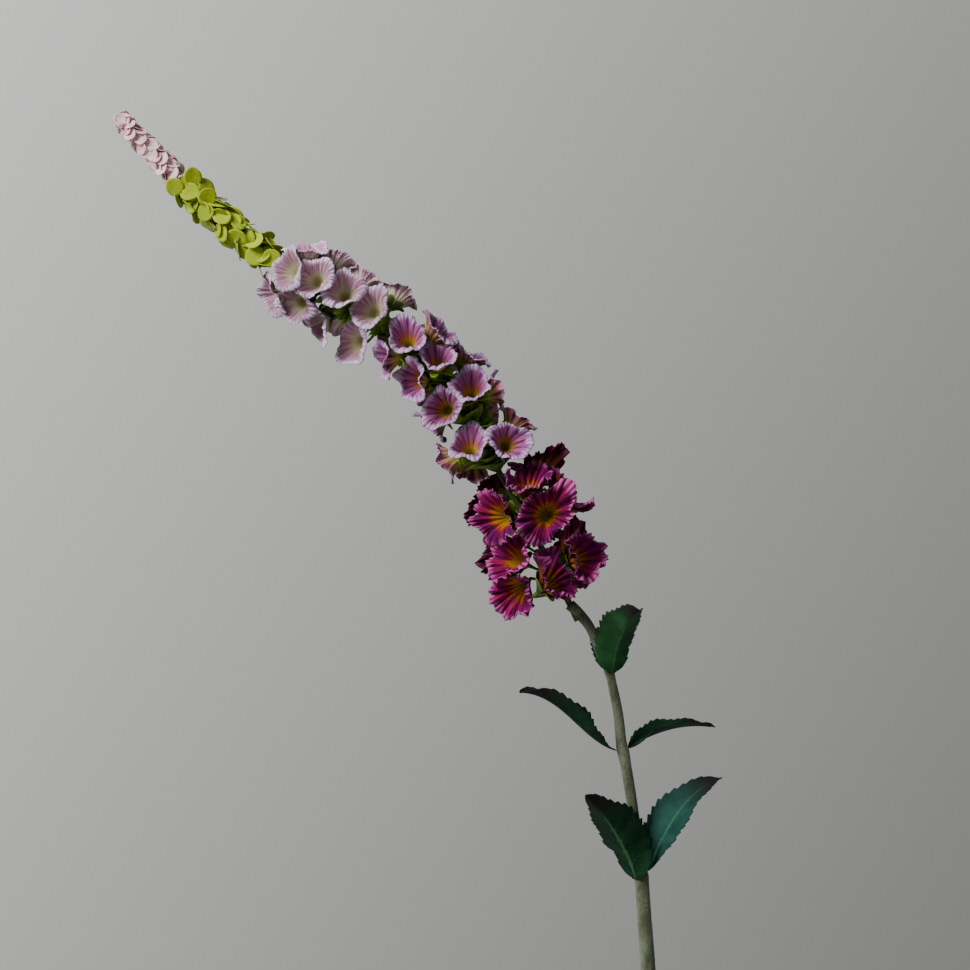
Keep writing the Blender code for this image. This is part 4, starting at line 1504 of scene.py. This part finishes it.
@dataclass(frozen=True)
class Bottle:
    """The thrown bottle vase, as radius and height from the inner floor over the lip to the foot."""

    outline: tuple[tuple[float, float], ...] = (
        (30, 9), (44.5, 12), (55, 31), (60.5, 62), (56.5, 97), (41, 130), (22, 156), (12, 169), (8.15, 180),
        (8.15, 252), (10.2, 258.5), (12.5, 260), (15.5, 258.5), (15.8, 255), (13.6, 247), (13.2, 225),
        (14.2, 198), (18, 175), (28, 157), (46.5, 132.5), (62, 98.5), (66, 62), (60, 28), (49.5, 3),
        (47, 0), (40, 0),
    )
    sides: int = 128
    softening: int = 3
    throwing: float = 0.22
    lip_points: int = 6
    bare_foot: tuple[float, float] = (6.0, 20.0)

    def softened(self) -> Array:
        """The outline with its corners cut again and again, until it is round."""
        line = np.array(self.outline, float)
        for _ in range(self.softening):
            near = 0.75 * line[:-1] + 0.25 * line[1:]
            far = 0.25 * line[:-1] + 0.75 * line[1:]
            line = np.vstack([line[:1], np.stack([near, far], 1).reshape(-1, 2), line[-1:]])
        return line

    def build(self, material: Material) -> None:
        """Turns the outline, with faint ridges from the potter's fingers on its outer side."""
        line = self.softened()
        radii, heights = line.T
        lip = int(np.argmax(heights))
        outer = np.arange(len(line)) > lip + self.lip_points
        off_foot = rise(heights, *self.bare_foot)
        ridge = np.sin(heights * 1.05) * self.throwing * outer * off_foot
        angles = ring(self.sides)
        drift = np.sin(heights[:, None] * 0.9 + angles)
        spiral = drift * self.throwing * 0.5 * (outer * off_foot)[:, None]
        reach = radii[:, None] + ridge[:, None] - self.throwing * outer[:, None] + spiral
        arms = np.stack([np.cos(angles), np.sin(angles), np.zeros(self.sides)], -1)
        rings = arms[None] * reach[..., None] + heights[:, None, None] * UP
        dress("bottle_vase", [Skin(rings)], material, "vase")


@dataclass(frozen=True)
class Studio:
    """Floor, world, lights and camera."""

    lens: float = 85.0
    eye: tuple[float, float, float] = (-0.1102, -1.4887, 0.60025)
    floor_radius: float = 1.25
    floor_fade: float = 0.75
    floor_tones: tuple[Colour, Colour] = ((0.50, 0.50, 0.49), (0.56, 0.56, 0.55))
    backdrop: float = 0.43
    ambient: float = 0.125
    target: Colour = (-0.12, 0.0, 0.55)
    lamps: tuple[tuple[str, Colour, float, float, Colour], ...] = (
        ("key", (-1.40, -1.10, 1.75), 62.0, 0.9, (1.0, 0.985, 0.96)),
        ("fill", (1.2, -1.8, 1.1), 3.0, 1.4, (0.92, 0.96, 1.0)),
        ("back", (0.7, 1.9, 1.0), 9.0, 1.6, (0.96, 0.98, 1.0)),
    )

    def camera(self) -> None:
        """Looks level along +Y."""
        data = bpy.data.cameras.new("camera")
        data.lens = self.lens
        data.sensor_width = 36.0
        data.clip_end = 50.0
        camera = bpy.data.objects.new("camera", data)
        bpy.context.scene.collection.objects.link(camera)
        camera.location = self.eye
        camera.rotation_euler = (math.radians(90), 0, 0)
        bpy.context.scene.camera = camera

    def world(self) -> None:
        """A grey backdrop with painted light, lighter to the upper left, which lights the object less than
        it shows.
        """
        world = bpy.data.worlds.new("studio")
        world.use_nodes = True
        bpy.context.scene.world = world
        paint = Paint(world.node_tree)
        background = world.node_tree.nodes["Background"]
        x, y, z = paint.parts(paint.node("TexCoord").outputs["Generated"])
        # Painted light: the backdrop that the camera sees grows lighter towards the upper left.
        slant = paint.weigh(z, 1.7, paint.times(x, -2.75))
        slant = paint.sum("MINIMUM", paint.sum("MAXIMUM", slant, -1.0), 1.0)
        seen = paint.times(paint.sum("POWER", 2.0, slant), self.backdrop)
        camera_ray = paint.node("LightPath").outputs["Is Camera Ray"]
        levels = {0: camera_ray, 2: self.ambient, 3: seen}
        level = paint.node("Mix", levels, data_type="FLOAT").outputs[0]
        tinted = paint.join(level, paint.times(level, 1.02), paint.times(level, 0.98))
        paint.feed(background.inputs["Color"], tinted)

    def light(self, name: str, place: Colour, power: float, size: float, tint: Colour) -> None:
        """A soft square lamp that points at the target.

        Args:
            name: its name.
            place: where it stands, in metres.
            power: in watts.
            size: of its side, in metres.
            tint: its colour.
        """
        data = bpy.data.lights.new(name, "AREA")
        data.energy = power
        data.size = size
        data.color = tint
        lamp = bpy.data.objects.new(name, data)
        bpy.context.scene.collection.objects.link(lamp)
        lamp.location = place
        lamp.rotation_euler = (Vector(self.target) - Vector(place)).to_track_quat("-Z", "Y").to_euler()

    def floor(self) -> None:
        """A pale round floor whose edge fades out."""
        bpy.ops.mesh.primitive_circle_add(vertices=96, radius=self.floor_radius, fill_type="NGON")
        disc = bpy.context.object
        disc.name = "studio_floor"
        paint = Surface("pale_floor", 0.8)
        spot = paint.spot()
        away = paint.node("VectorMath", {0: spot}, operation="LENGTH").outputs["Value"]
        paint.set("Alpha", paint.band(away, self.floor_radius, self.floor_fade))
        cloud = paint.noise(spot, 3.0, 4.0)
        paint.set("Base Color", paint.mix(cloud, *self.floor_tones))
        disc.data.materials.append(paint.material)

    def build(self) -> None:
        """Sets up the whole studio."""
        self.camera()
        self.world()
        self.floor()
        for lamp in self.lamps:
            self.light(*lamp)


def main() -> None:
    """Builds every piece where the frame has it, then the studio."""
    logging.basicConfig(level=logging.INFO, format="%(message)s")
    effects = Effects()
    spike = Route(SPIKE_ROUTE)
    stem = Stem()
    florets = Florets()
    calyces = Calyces()
    Bottle().build(StonewareFinish().material(effects))
    stem.build(FlockFinish().material(effects))
    cloths = {name: finish.material(effects) for name, finish in LEAF_CLOTHS.items()}
    for leaf in LEAVES:
        cloth = cloths.get(leaf.name, cloths["others"])
        dress(f"blade_{leaf.name}", [leaf.skin(stem)], cloth, f"leaf_{leaf.name}")
    groups = {kind: florets.build(kind, spike, PETALS[kind].material(effects)) for kind in Kind}
    seats = [(BLOOMS[kind], place) for kind, places in groups.items() for place in places]
    for kind, places in groups.items():
        calyces.build(kind, places, seats, GREENS[kind].material())
    Bracts().build(spike, seats, BRACT_GREEN.material())
    Wire().build(spike, SLEEVE_GREEN.material())
    LIME_DISCS.build(spike, LIME_CLOTH.material(effects))
    PINK_PETALS.build(spike, PINK_CLOTH.material(effects))
    Studio().build()


if __name__ == "__main__":
    main()
